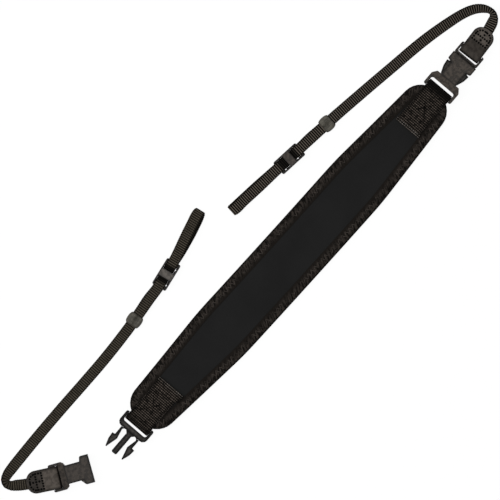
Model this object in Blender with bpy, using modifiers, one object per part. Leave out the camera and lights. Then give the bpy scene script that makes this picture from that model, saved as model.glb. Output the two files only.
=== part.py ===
"""Padded neck strap with two quick-release buckles and two thin connector straps.

The strap lies flat. X runs along the pad towards the clipped buckle, Y across it, Z up.
The origin is under the middle of the pad, on the surface that the strap lies on.
"""

import math

import bmesh
import bpy
import numpy as np
from mathutils import Matrix, Vector

# Clearances
GAP = 0.0003
LOOP_SLACK = 0.0010
SEAM_GAP = 0.0008
TAB_SIDE_GAP = 0.0006
LAYER_GAP = 0.0004
PRONG_HEADROOM = 0.0004

# Pad
PAD_LENGTH = 0.399
PAD_WIDTH = 0.0570
PAD_END_WIDTH = 0.0424
PAD_PARALLEL = 0.160
PAD_CORNER = 0.0180
PAD_EASE = 0.2
PAD_BOW = 0.0018
PAD_LEAN = 0.0006
FOAM_THICKNESS = 0.0034
CLOTH_THICKNESS = 0.0009
BINDING_REACH = 0.0095
RAMP_LENGTH = 0.045
PAD_STATIONS = 24
CORNER_STEPS = 4

# Wide webbing sewn to the pad ends
WEB_WIDTH = 0.0254
WEB_THICKNESS = 0.0014
PATCH_LENGTH = 0.0425
END_REACH = 0.0021

# Buckle frames: the wide ones are on the pad, the narrow ones on the connector straps
WIDE_RAIL = 0.0027
WIDE_SLOT_DEPTH = 0.0042
WIDE_BAR = 0.0038
NARROW_RAIL = 0.0020
UPPER_PLUG_SLOT_DEPTH = 0.0043
LOWER_SOCKET_SLOT_DEPTH = 0.0036
NARROW_BAR = 0.0038
BAR_SIDES = 14
FRAME_BACK = 0.0032
FRAME_HEIGHT = 0.0056
FRAME_CORNER = 0.0030
WIDE_PLUG_CORNER = 0.0046
NARROW_PLUG_CORNER = 0.0014
EDGE_ROUND = 0.0007
SLOT_ROUND = 0.35

# Latch shared by both buckles
SOCKET_WALL = 0.0019
WIDE_HEEL = 0.0067
NARROW_HEEL = 0.0056
WINDOW_LENGTH = 0.0142
COLLAR_LENGTH = 0.0090
COLLAR_WIDTH = 0.0260
COLLAR_WALL = 0.0017
COLLAR_SHOULDER = 0.0012
WAIST_WIDTH = 0.0168
EAR_FLAT = 0.55
EAR_SLOPE = 0.60
CAVITY_POCKET = 0.0008
PRONG_HEIGHT = 0.0044
GUIDE_WIDTH = 0.0046
GUIDE_TIP_GAP = 0.0007
GUSSET = 0.0026
WIDE_CROSSBAR = 0.0052
NARROW_CROSSBAR = 0.0023

# Sprung prongs of a plug, measured from the cross-bar
ARM_WIDTH = 0.0022
BARB_OVERLAP = 0.0016
BARB_STEP = 0.0027
BARB_INSIDE = 0.0060
HEAD_TIP_GAP = 0.0014
HEAD_BULGE_AT = 0.45
HEAD_BULGE = 0.86
NECK_AT = 0.7
NECK_FROM = 0.2
TIP_WIDTH = 0.0009
LATCHED_TURN = 2.0

# Leather tabs
TAB_WIDTH = 0.0200
TAB_LENGTH = 0.0255
TAB_THICKNESS = 0.0016
TAB_CORNER = 0.0085
TAB_CLOSE_AT = 0.0105
TAB_FALL = 0.55
STRAP_IN_TAB = 0.0115

# Thin webbing, rubber keepers and three-bar sliders
STRAP_WIDTH = 0.0102
STRAP_THICKNESS = 0.0012
KEEPER_LENGTH = 0.0105
KEEPER_BULGE = 0.0011
KEEPER_END_RIM = 0.00045
KEEPER_WALL = 0.0010
KEEPER_TAIL_Z = 0.0020
KEEPER_ROUND = 0.0012
KEEPER_STEPS = 3
SLIDER_SLOT = 0.00585
SLIDER_SIDE_PLAY = 0.0014
SLIDER_RAIL = 0.0013
SLIDER_END_BAR = 0.0040
SLIDER_CENTRE_BAR = 0.0073
SLIDER_BAR_HEIGHT = 0.0016
SLIDER_LIFT = 0.0002
SLIDER_CORNER = 0.0014

# Places and headings, in metres and degrees
UPPER_END_Y = 0.0024
UPPER_END_HEADING = 2.0
LOWER_END_Y = 0.0005
LOWER_END_HEADING = 181.8
LOWER_SOCKET_FROM_PAD = (-0.0892, 0.0233)
LOWER_SOCKET_HEADING = -32.1
UPPER_TAB_TURN = 3.0
LOWER_TAB_TURN = 176.6

# Thin webbing from its tab to just before its keeper, in the tab's own frame.
# Each point is x, y, height above the surface, and bank in degrees, right edge up where positive.
UPPER_RUN = [
    (0.0285, 0.0004, 0.0029, 2), (0.0334, 0.0014, 0.0035, 20),
    (0.0375, 0.0031, 0.0043, 45), (0.0400, 0.0060, 0.0049, 60), (0.0402, 0.0100, 0.0049, 60),
    (0.0385, 0.0145, 0.0045, 48), (0.0349, 0.0194, 0.0040, 38), (0.0293, 0.0238, 0.0036, 33),
    (0.0226, 0.0273, 0.0033, 30), (0.0091, 0.0324, 0.0028, 23), (-0.0046, 0.0368, 0.0022, 16),
    (-0.0185, 0.0407, 0.0017, 10), (-0.0325, 0.0440, 0.0012, 4), (-0.0466, 0.0470, 0.0008, 0),
    (-0.0748, 0.0532, 0.0008, 0), (-0.1001, 0.0586, 0.0010, 0),
]
LOWER_RUN = [
    (0.0290, -0.0002, 0.0029, -2), (0.0345, -0.0009, 0.0034, -16),
    (0.0395, -0.0017, 0.0040, -38), (0.0432, -0.0043, 0.0045, -48), (0.0435, -0.0082, 0.0043, -45),
    (0.0407, -0.0121, 0.0035, -30), (0.0355, -0.0168, 0.0024, -16), (0.0245, -0.0258, 0.0012, -4),
    (0.0020, -0.0436, 0.0008, 0), (-0.0210, -0.0611, 0.0008, 0), (-0.0442, -0.0783, 0.0008, 0),
    (-0.0671, -0.0957, 0.0008, 0), (-0.0843, -0.1098, 0.0012, 0),
]

# Where each slider and keeper sits, with the heading of the webbing there, in the tab's own frame.
UPPER_SLIDER = (-0.1749, 0.0726, 169.8)
UPPER_KEEPER = (-0.1294, 0.0644, 169.8)
LOWER_SLIDER = (-0.1366, -0.1581, -133.8)
LOWER_KEEPER = (-0.1002, -0.1238, -137.0)

# Webbing near the slider, in the slider's own frame: along the webbing, to its left, and height.
UPPER_LEAD = [
    (-0.0538, 0.0, 0.0034), (-0.0462, 0.0, 0.0036), (-0.0388, 0.0, 0.0036), (-0.0250, 0.0, 0.0040),
]
LOWER_LEAD = [
    (-0.0575, 0.0030, 0.0034), (-0.0500, 0.0025, 0.0036), (-0.0425, 0.0020, 0.0036),
    (-0.0260, 0.0010, 0.0040),
]
UPPER_LOOP_OUT = [(0.0220, 0.0002, 0.0036), (0.0350, 0.0005, 0.0027), (0.0550, 0.0005, 0.0024)]
UPPER_LOOP_TIP = [(0.0690, 0.0004, 0.0023), (0.0700, 0.0000, 0.0015), (0.0690, -0.0004, 0.0007)]
UPPER_LOOP_BACK = [(0.0550, -0.0005, 0.0007), (0.0350, -0.0005, 0.0010), (0.0220, -0.0002, 0.0019)]
LOWER_LOOP_OUT = [(0.0220, 0.0007, 0.0050), (0.0350, 0.0022, 0.0061), (0.0500, 0.0036, 0.0066)]
LOWER_LOOP_TIP = [(0.0612, 0.0043, 0.0059), (0.0648, 0.0036, 0.0037), (0.0612, 0.0026, 0.0014)]
LOWER_LOOP_BACK = [(0.0500, 0.0011, 0.0008), (0.0350, 0.0001, 0.0009), (0.0220, -0.0002, 0.0019)]
UPPER_TAIL = [
    (-0.0250, -0.0005, 0.0024), (-0.0388, -0.0001, 0.0020), (-0.0518, 0.0, 0.0019), (-0.0598, 0.0, 0.0010),
]
LOWER_TAIL = [
    (-0.0260, 0.0015, 0.0024), (-0.0425, 0.0021, 0.0020), (-0.0560, 0.0029, 0.0019),
    (-0.0640, 0.0035, 0.0010),
]
ROUTE_STEP = 0.009

# Colours, roughness
RUBBER_BLACK = ((0.014, 0.014, 0.015), 0.75)
FACE_BLACK = ((0.013, 0.013, 0.014), 0.80)
BINDING_BLACK = ((0.016, 0.014, 0.012), 0.90)
WEBBING_BLACK = ((0.020, 0.019, 0.016), 0.85)
PLASTIC_BLACK = ((0.035, 0.035, 0.034), 0.45)
LEATHER_BLACK = ((0.032, 0.030, 0.028), 0.55)
KEEPER_GREY = ((0.045, 0.043, 0.041), 0.60)

# Worked out from the sizes above
PAD_HALF = PAD_LENGTH / 2
WIDE_SLOT = WEB_WIDTH + 2 * GAP
WIDE_FRAME = WIDE_SLOT + 2 * WIDE_RAIL
NARROW_SLOT = TAB_WIDTH + 2 * TAB_SIDE_GAP
NARROW_FRAME = NARROW_SLOT + 2 * NARROW_RAIL
CAVITY_HEIGHT = PRONG_HEIGHT + 2 * PRONG_HEADROOM
SOCKET_HEIGHT = CAVITY_HEIGHT + 2 * SOCKET_WALL
CAVITY_LENGTH = COLLAR_LENGTH + WINDOW_LENGTH + CAVITY_POCKET
GUIDE_LENGTH = CAVITY_LENGTH - GUIDE_TIP_GAP
PAD_LIFT = WEB_THICKNESS + GAP
FOAM_BASE = CLOTH_THICKNESS + GAP
FACE_BASE = FOAM_BASE + FOAM_THICKNESS + GAP
PAD_THICKNESS = FACE_BASE + CLOTH_THICKNESS
WIDE_BAR_Z = SOCKET_HEIGHT / 2
PLUG_BAR_Z = WEB_THICKNESS + GAP + WIDE_BAR / 2 + GAP
BARB_AT = COLLAR_LENGTH + 2 * GAP
HEAD_LENGTH = CAVITY_LENGTH - BARB_AT - HEAD_TIP_GAP
PRONG_OUTSIDE = COLLAR_WIDTH / 2 - COLLAR_WALL + BARB_OVERLAP
ARM_OUTSIDE = PRONG_OUTSIDE - BARB_STEP
LAYER = STRAP_THICKNESS + LAYER_GAP
SLIDER_LENGTH = 2 * SLIDER_END_BAR + SLIDER_CENTRE_BAR + 2 * SLIDER_SLOT
SLIDER_WIDTH = STRAP_WIDTH + SLIDER_SIDE_PLAY + 2 * SLIDER_RAIL
SLIDER_LOW_TOP = SLIDER_LIFT + SLIDER_BAR_HEIGHT
OVER_TAIL = SLIDER_LOW_TOP + GAP + STRAP_THICKNESS / 2
OVER_MAIN = OVER_TAIL + LAYER
UNDER_TAIL = SLIDER_LIFT + STRAP_THICKNESS / 2
UNDER_MAIN = UNDER_TAIL + LAYER
SLIDER_HIGH_BASE = UNDER_MAIN + STRAP_THICKNESS / 2 + GAP
SLIDER_HEIGHT = SLIDER_HIGH_BASE + SLIDER_BAR_HEIGHT - SLIDER_LIFT
KEEPER_SLOT_BASE = KEEPER_TAIL_Z - STRAP_THICKNESS / 2 - GAP
KEEPER_SLOT_TOP = KEEPER_TAIL_Z + LAYER + STRAP_THICKNESS / 2 + GAP
KEEPER_SLOT = STRAP_WIDTH + 2 * GAP
KEEPER_END_WIDTH = KEEPER_SLOT + 2 * KEEPER_END_RIM
TAB_END_Z = TAB_THICKNESS + GAP + STRAP_THICKNESS / 2 + GAP

PARTS = bpy.data.collections.new("padded_neck_strap")
CUTTERS = bpy.data.collections.new("cutters")


def clear_scene():
    """Remove what the scene holds and link the two collections."""
    for item in list(bpy.data.objects):
        bpy.data.objects.remove(item, do_unlink=True)
    for collection in (PARTS, CUTTERS):
        bpy.context.scene.collection.children.link(collection)


def finish_of(name, finish):
    """Make a material of its own for one piece."""
    colour, roughness = finish
    material = bpy.data.materials.new(name)
    material.use_nodes = True
    shader = material.node_tree.nodes["Principled BSDF"]
    shader.inputs["Base Color"].default_value = (*colour, 1.0)
    shader.inputs["Roughness"].default_value = roughness
    shader.inputs["Metallic"].default_value = 0.0
    return material


def frame_at(name, place, heading, parent=None):
    """Put an empty at a place, turned to a heading in degrees about Z."""
    empty = bpy.data.objects.new(name, None)
    empty.location = place
    empty.rotation_euler = (0.0, 0.0, math.radians(heading))
    empty.parent = parent
    PARTS.objects.link(empty)
    return empty


def as_piece(item, name, finish, parent, place=(0.0, 0.0, 0.0)):
    """Name an object, give it its finish and hang it on its frame."""
    item.name = name
    item.data.name = name
    item.data.materials.clear()
    item.data.materials.append(finish_of(name, finish))
    item.parent = parent
    item.location = place
    for collection in list(item.users_collection):
        collection.objects.unlink(item)
    PARTS.objects.link(item)
    return item


def as_cutter(item, target):
    """Hang a cutter on its target's frame and keep it out of the model."""
    item.parent = target.parent
    item.location = target.location
    item.hide_render = True
    item.display_type = "WIRE"
    for collection in list(item.users_collection):
        collection.objects.unlink(item)
    CUTTERS.objects.link(item)
    return item


def shape_with(target, cutter, operation):
    """Add a Boolean of the cutter to the target."""
    as_cutter(cutter, target)
    modifier = target.modifiers.new(cutter.name, "BOOLEAN")
    modifier.operation = operation
    modifier.solver = "EXACT"
    modifier.object = cutter


def box(name, low, high):
    """Make a box between two corners."""
    mesh = bpy.data.meshes.new(name)
    low, high = Vector(low), Vector(high)
    shell = bmesh.new()
    size = Matrix.Diagonal((*(high - low), 1.0))
    bmesh.ops.create_cube(shell, size=1.0, matrix=Matrix.Translation((low + high) / 2) @ size)
    shell.to_mesh(mesh)
    shell.free()
    item = bpy.data.objects.new(name, mesh)
    CUTTERS.objects.link(item)
    return item


def rounded(corners, steps=3):
    """Return an outline whose corners (x, y, radius) are turned into arcs."""
    outline = []
    for index, (x, y, radius) in enumerate(corners):
        corner = Vector((x, y))
        if radius <= 0.0:
            outline.append((x, y))
            continue
        before = (Vector(corners[index - 1][:2]) - corner).normalized()
        after = (Vector(corners[(index + 1) % len(corners)][:2]) - corner).normalized()
        half = before.angle(after) / 2
        centre = corner + (before + after).normalized() * radius / math.sin(half)
        first = corner + before * radius / math.tan(half) - centre
        last = corner + after * radius / math.tan(half) - centre
        for step in range(steps + 1):
            spoke = first.lerp(last, step / steps).normalized() * radius
            outline.append(tuple(centre + spoke))
    return outline


def mirrored(half):
    """Complete an outline given as (x, y, radius) corners on its left side."""
    return half + [(x, -y, radius) for x, y, radius in reversed(half)]


def welded(item, turn):
    """Turn a curve into a closed mesh with its caps joined on, turned about the origin."""
    bpy.context.view_layer.update()
    evaluated = item.evaluated_get(bpy.context.evaluated_depsgraph_get())
    mesh = bpy.data.meshes.new_from_object(evaluated)
    shell = bmesh.new()
    shell.from_mesh(mesh)
    bmesh.ops.remove_doubles(shell, verts=shell.verts, dist=0.000001)
    bmesh.ops.rotate(shell, verts=shell.verts, matrix=turn)
    bmesh.ops.recalc_face_normals(shell, faces=shell.faces)
    shell.to_mesh(mesh)
    shell.free()
    name = item.name
    bpy.data.objects.remove(item, do_unlink=True)
    solid = bpy.data.objects.new(name, mesh)
    CUTTERS.objects.link(solid)
    return solid


def prism(name, outline, height, edge=0.0, across=False):
    """Extrude a flat outline evenly about its plane, with its long edges rounded.

    With across, the outline is a side view (x and height) and is extruded along Y.
    """
    curve = bpy.data.curves.new(name, "CURVE")
    curve.dimensions = "2D"
    curve.fill_mode = "BOTH"
    curve.extrude = height / 2 - edge
    curve.bevel_depth = edge
    curve.bevel_resolution = 1
    curve.offset = -edge
    spline = curve.splines.new("POLY")
    spline.points.add(len(outline) - 1)
    for point, (x, y) in zip(spline.points, outline):
        point.co = (x, y, 0.0, 1.0)
    spline.use_cyclic_u = True
    flat = bpy.data.objects.new(name, curve)
    CUTTERS.objects.link(flat)
    turn = Matrix.Rotation(math.pi / 2, 3, "X") if across else Matrix.Identity(3)
    return welded(flat, turn)


def ribbon_outline(path, thickness):
    """Return the closed outline of a flat ribbon seen from its side."""
    points = [Vector(point) for point in path]
    one_side, other_side = [], []
    for index, point in enumerate(points):
        ahead = (points[min(index + 1, len(points) - 1)] - point)
        behind = (point - points[max(index - 1, 0)])
        tangent = (ahead.normalized() + behind.normalized()).normalized()
        normal = Vector((-tangent.y, tangent.x))
        mitre = max(normal.dot(Vector((-ahead.y, ahead.x)).normalized()) if ahead.length else 1.0, 0.6)
        one_side.append(tuple(point + normal * thickness / 2 / mitre))
        other_side.append(tuple(point - normal * thickness / 2 / mitre))
    return one_side + other_side[::-1]


def smooth_route(route, step):
    """Read points along a smooth curve through a route, at most one step apart."""
    knots = np.array(route, dtype=float)
    spans = np.linalg.norm(np.diff(knots[:, :3], axis=0), axis=1)
    slopes = np.diff(knots, axis=0) / spans[:, None]
    tangents = np.empty_like(knots)
    tangents[0], tangents[-1] = slopes[0], slopes[-1]
    weight = (spans[1:] / (spans[1:] + spans[:-1]))[:, None]
    tangents[1:-1] = slopes[:-1] * weight + slopes[1:] * (1.0 - weight)
    points = []
    for index, span in enumerate(spans):
        pieces = max(2, math.ceil(span / step))
        for piece in range(pieces):
            t = piece / pieces
            points.append(
                knots[index] * (2 * t**3 - 3 * t**2 + 1)
                + knots[index + 1] * (3 * t**2 - 2 * t**3)
                + tangents[index] * span * (t**3 - 2 * t**2 + t)
                + tangents[index + 1] * span * (t**3 - t**2)
            )
    points.append(knots[-1])
    return points


def swept_round(name, points, section):
    """Sweep a section round a closed line of points, kept upright."""
    profile = bpy.data.curves.new(name + "_section", "CURVE")
    profile.dimensions = "2D"
    profile.fill_mode = "NONE"
    rim = profile.splines.new("POLY")
    rim.points.add(len(section) - 1)
    for point, (x, y) in zip(rim.points, section):
        point.co = (x, y, 0.0, 1.0)
    rim.use_cyclic_u = True
    guide = bpy.data.objects.new(name + "_section", profile)
    guide.hide_render = True
    guide.display_type = "WIRE"
    CUTTERS.objects.link(guide)
    curve = bpy.data.curves.new(name, "CURVE")
    curve.dimensions = "3D"
    curve.twist_mode = "Z_UP"
    curve.bevel_mode = "OBJECT"
    curve.bevel_object = guide
    spline = curve.splines.new("POLY")
    spline.points.add(len(points) - 1)
    for point, place in zip(spline.points, points):
        point.co = (*place, 1.0)
    spline.use_cyclic_u = True
    item = bpy.data.objects.new(name, curve)
    CUTTERS.objects.link(item)
    return welded(item, Matrix.Identity(3))


def pad_half_width(x, inset):
    """Half the pad's width at a place along it, drawn in by an inset all round."""
    half_length = PAD_HALF - inset
    taper_from = PAD_PARALLEL / 2
    share = max(0.0, (abs(x) - taper_from) / (PAD_HALF - taper_from))
    eased = share**2 / (2 * PAD_EASE) if share < PAD_EASE else share - PAD_EASE / 2
    drop = (PAD_WIDTH - PAD_END_WIDTH) / 2 * eased / (1 - PAD_EASE / 2)
    corner = max(PAD_CORNER - inset, GAP)
    past = max(0.0, abs(x) - (half_length - corner))
    round_off = corner - math.sqrt(max(corner**2 - past**2, 0.0))
    return PAD_WIDTH / 2 - inset - drop - round_off


def pad_middle(x):
    """The pad's middle line lies in a shallow bow that leans a little to one side."""
    share = x / PAD_HALF
    return PAD_BOW * share**2 + PAD_LEAN * share


def pad_lift(x):
    """The pad's ends are lifted by the webbing that is sewn under them."""
    ramp_end = PAD_HALF - PATCH_LENGTH - 2 * GAP
    share = min(1.0, max(0.0, (abs(x) - (ramp_end - RAMP_LENGTH)) / RAMP_LENGTH))
    return PAD_LIFT * share**2 * (3 - 2 * share)


def pad_stations(inset):
    """Places along the pad, closer together round its corners."""
    corner = max(PAD_CORNER - inset, GAP)
    straight = PAD_HALF - inset - corner
    middle = [straight * (2 * step / PAD_STATIONS - 1) for step in range(PAD_STATIONS + 1)]
    angles = [math.pi / 2 * step / CORNER_STEPS for step in range(1, CORNER_STEPS + 1)]
    turns = [straight + corner * math.sin(angle) for angle in angles]
    return [-x for x in reversed(turns)] + middle + turns


def pad_layer(name, inset, base, thickness, finish):
    """Make one sheet of the pad: a strip across the stations, thickened upwards."""
    mesh = bpy.data.meshes.new(name)
    shell = bmesh.new()
    rungs = []
    for x in pad_stations(inset):
        half = pad_half_width(x, inset)
        height = base + pad_lift(x)
        left = shell.verts.new((x, pad_middle(x) + half, height))
        right = shell.verts.new((x, pad_middle(x) - half, height))
        rungs.append((left, right))
    for (left, right), (next_left, next_right) in zip(rungs, rungs[1:]):
        shell.faces.new((left, right, next_right, next_left))
    shell.to_mesh(mesh)
    shell.free()
    item = as_piece(bpy.data.objects.new(name, mesh), name, finish, None)
    solidify = item.modifiers.new("thickness", "SOLIDIFY")
    solidify.thickness = thickness
    solidify.offset = 1.0
    return item


def make_pad():
    """Foam core, a cloth panel on each side of it, and the tape round its edge."""
    foam_inset = CLOTH_THICKNESS + 2 * GAP
    panel_inset = BINDING_REACH + SEAM_GAP
    pad_layer("pad_foam", foam_inset, FOAM_BASE, FOAM_THICKNESS, RUBBER_BLACK)
    pad_layer("pad_face_panel", panel_inset, FACE_BASE, CLOTH_THICKNESS, FACE_BLACK)
    pad_layer("pad_back_panel", panel_inset, 0.0, CLOTH_THICKNESS, RUBBER_BLACK)
    stations = pad_stations(0.0)
    left = [(x, pad_middle(x) + pad_half_width(x, 0.0), pad_lift(x)) for x in stations]
    right = [(x, pad_middle(x) - pad_half_width(x, 0.0), pad_lift(x)) for x in reversed(stations)]
    lip = CLOTH_THICKNESS
    section = [
        (0.0, 0.0), (0.0, PAD_THICKNESS), (BINDING_REACH, PAD_THICKNESS), (BINDING_REACH, FACE_BASE),
        (lip, FACE_BASE), (lip, lip), (BINDING_REACH, lip), (BINDING_REACH, 0.0),
    ]
    binding = swept_round("pad_binding", right + left, section)
    as_piece(binding, "pad_binding", BINDING_BLACK, None)


def turn_round_bar(radius, steps=8):
    """Points of a half turn round the front of a bar, from above it to below it."""
    angles = [math.pi / 2 - math.pi * step / steps for step in range(steps + 1)]
    return [(radius * math.cos(angle), radius * math.sin(angle)) for angle in angles]


def make_webbing(name, frame, bar_z):
    """Wide webbing: one leg over the pad, round the buckle's bar, the other leg under the pad."""
    half = WEB_THICKNESS / 2
    over = PAD_LIFT + PAD_THICKNESS + GAP + half - bar_z
    under = half - bar_z
    far = -(END_REACH + PATCH_LENGTH)
    edge = -(END_REACH - GAP)
    turn = turn_round_bar(WIDE_BAR / 2 + GAP + half)
    path = [(far, over), (edge, over)] + turn + [(edge, under), (far, under)]
    strip = prism(name, ribbon_outline(path, WEB_THICKNESS), WEB_WIDTH, across=True)
    as_piece(strip, name, WEBBING_BLACK, frame, (0.0, 0.0, bar_z))


def open_frame(item, slot, slot_depth, bar):
    """Open a frame from its back to the far side of its webbing slot and set its round bar in it."""
    half = slot / 2
    far = bar / 2 + slot_depth
    opening = mirrored([(-2 * FRAME_BACK, half, 0.0), (far, half, slot_depth * SLOT_ROUND)])
    shape_with(item, prism(item.name + "_slot", rounded(opening), 2 * SOCKET_HEIGHT), "DIFFERENCE")
    mesh = bpy.data.meshes.new(item.name + "_bar")
    shell = bmesh.new()
    bmesh.ops.create_cone(
        shell, cap_ends=True, segments=BAR_SIDES, radius1=bar / 2, radius2=bar / 2,
        depth=slot + 2 * EDGE_ROUND, matrix=Matrix.Rotation(math.pi / 2, 4, "X"),
    )
    shell.to_mesh(mesh)
    shell.free()
    rod = bpy.data.objects.new(item.name + "_bar", mesh)
    CUTTERS.objects.link(rod)
    shape_with(item, rod, "UNION")


def make_socket(name, frame, bar_z, width, slot, slot_depth, bar, heel_length):
    """Female half: a framed bar, a heel, two open side windows and a collar round the mouth."""
    heel = bar / 2 + slot_depth
    window = heel + heel_length
    collar = window + WINDOW_LENGTH
    mouth = collar + COLLAR_LENGTH
    waist = WAIST_WIDTH / 2
    ear = width / 2 - waist
    left = [
        (-FRAME_BACK, width / 2, FRAME_CORNER / 2), (window - EAR_SLOPE * ear, width / 2, FRAME_CORNER / 2),
        (window, waist + EAR_FLAT * ear, FRAME_CORNER / 4), (window, waist, FRAME_CORNER / 4),
        (collar, waist, FRAME_CORNER / 3),
        (collar + COLLAR_SHOULDER, COLLAR_WIDTH / 2, FRAME_CORNER / 3), (mouth, COLLAR_WIDTH / 2, 0.0),
    ]
    body = prism(name, rounded(mirrored(left)), SOCKET_HEIGHT, EDGE_ROUND)
    as_piece(body, name, PLASTIC_BLACK, frame, (0.0, 0.0, bar_z))
    low, high = FRAME_HEIGHT / 2, SOCKET_HEIGHT / 2
    side = [(-bar, -low), (heel, -low), (window, -high), (mouth + bar, -high)]
    side = side + [(x, -z) for x, z in reversed(side)]
    shape_with(body, prism(name + "_side", side, 2 * WIDE_FRAME, across=True), "INTERSECT")
    open_frame(body, slot, slot_depth, bar)
    inside = COLLAR_WIDTH / 2 - COLLAR_WALL
    half_cavity = CAVITY_HEIGHT / 2
    cavity = box(
        name + "_cavity",
        (window - CAVITY_POCKET, -inside, -half_cavity),
        (mouth + COLLAR_LENGTH, inside, half_cavity),
    )
    shape_with(body, cavity, "DIFFERENCE")
    return mouth


def make_plug(name, frame, bar_z, width, slot, slot_depth, bar, crossbar, corner):
    """Male half without its prongs: a framed bar, a cross-bar and the centre guide."""
    root = bar / 2 + slot_depth + crossbar
    left = [(-FRAME_BACK, width / 2, FRAME_CORNER / 2), (root, width / 2, corner)]
    body = prism(name, rounded(mirrored(left)), FRAME_HEIGHT, EDGE_ROUND)
    as_piece(body, name, PLASTIC_BLACK, frame, (0.0, 0.0, bar_z))
    half_guide = GUIDE_WIDTH / 2
    guide = [
        (root - crossbar / 2, half_guide + GUSSET, 0.0), (root, half_guide + GUSSET, 0.0),
        (root + GUSSET, half_guide, 0.0), (root + GUIDE_LENGTH, half_guide, half_guide / 4),
    ]
    shape_with(body, prism(name + "_guide", rounded(mirrored(guide)), PRONG_HEIGHT, EDGE_ROUND / 2), "UNION")
    open_frame(body, slot, slot_depth, bar)
    return root


def make_prongs(side_name, frame, bar_z, root, turn):
    """The two sprung arms of a plug, each on an origin at its root and turned inwards a little."""
    arm_middle = ARM_OUTSIDE - ARM_WIDTH / 2
    tip = BARB_AT + HEAD_LENGTH
    inner = BARB_INSIDE - arm_middle
    half_arm = ARM_WIDTH / 2
    barb = PRONG_OUTSIDE - arm_middle
    tip_in = (barb + inner) / 2 - TIP_WIDTH / 2
    corners = [
        (0.0, half_arm, 0.0), (0.0, -half_arm, 0.0), (BARB_AT * NECK_FROM, -half_arm, 0.0),
        (BARB_AT + ARM_WIDTH * NECK_AT, inner, ARM_WIDTH / 4),
        (tip, tip_in, 0.0), (tip, tip_in + TIP_WIDTH, 0.0),
        (BARB_AT + HEAD_LENGTH * HEAD_BULGE_AT, barb * HEAD_BULGE, HEAD_LENGTH / 2),
        (BARB_AT, barb, TIP_WIDTH / 3),
        (BARB_AT - TIP_WIDTH / 2, half_arm, 0.0),
    ]
    for word, sign in (("left", 1.0), ("right", -1.0)):
        name = side_name + "_prong_" + word
        outline = [(x, sign * y) for x, y in rounded(corners)]
        prong = prism(name, outline, PRONG_HEIGHT, EDGE_ROUND / 2)
        as_piece(prong, name, PLASTIC_BLACK, frame, (root + GAP, sign * arm_middle, bar_z))
        prong.rotation_euler = (0.0, 0.0, -sign * math.radians(turn))


def make_tab(name, frame, bar_z):
    """Leather tab folded round a bar, its two legs closing on the thin webbing."""
    half = TAB_THICKNESS / 2
    spread = STRAP_THICKNESS / 2 + GAP + half
    round_bar = NARROW_BAR / 2 + LOOP_SLACK + half
    turn = [(-x, z) for x, z in turn_round_bar(round_bar)]
    closing = [(TAB_CLOSE_AT / 2, TAB_FALL), (TAB_CLOSE_AT, 1.0), (TAB_LENGTH, 1.0)]
    drop = TAB_END_Z - bar_z
    upper = [(x, drop * share + round_bar + (spread - round_bar) * share) for x, share in closing]
    lower = [(x, drop * share - round_bar - (spread - round_bar) * share) for x, share in closing]
    path = upper[::-1] + turn + lower
    leather = prism(name, ribbon_outline(path, TAB_THICKNESS), TAB_WIDTH, across=True)
    as_piece(leather, name, LEATHER_BLACK, frame, (0.0, 0.0, bar_z))
    plan = mirrored([
        (-TAB_LENGTH / 2, TAB_WIDTH / 2 - EDGE_ROUND / 4, 0.0),
        (TAB_LENGTH - GAP, TAB_WIDTH / 2 - EDGE_ROUND / 4, TAB_CORNER),
    ])
    shape_with(leather, prism(name + "_plan", rounded(plan, 5), 4 * SOCKET_HEIGHT), "INTERSECT")


def make_keeper(name, frame, place):
    """Rubber ring with bulged sides, open along the webbing."""
    x, y, heading = place
    seat = frame_at(name + "_frame", (x, y, 0.0), heading, frame)
    half_length = KEEPER_LENGTH / 2
    left = []
    for step in range(-KEEPER_STEPS, KEEPER_STEPS + 1):
        share = step / KEEPER_STEPS
        left.append((half_length * share, KEEPER_END_WIDTH / 2 + KEEPER_BULGE * (1 - share**2), 0.0))
    height = KEEPER_SLOT_TOP - KEEPER_SLOT_BASE + 2 * KEEPER_WALL
    ring = prism(name, rounded(mirrored(left)), height, KEEPER_ROUND)
    as_piece(ring, name, KEEPER_GREY, seat, (0.0, 0.0, KEEPER_SLOT_BASE - KEEPER_WALL + height / 2))
    half_slot = (KEEPER_SLOT_TOP - KEEPER_SLOT_BASE) / 2
    half_width = KEEPER_SLOT / 2
    low = (-KEEPER_LENGTH, -half_width, -half_slot)
    high = (KEEPER_LENGTH, half_width, half_slot)
    slot = box(name + "_slot", low, high)
    shape_with(ring, slot, "DIFFERENCE")


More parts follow.
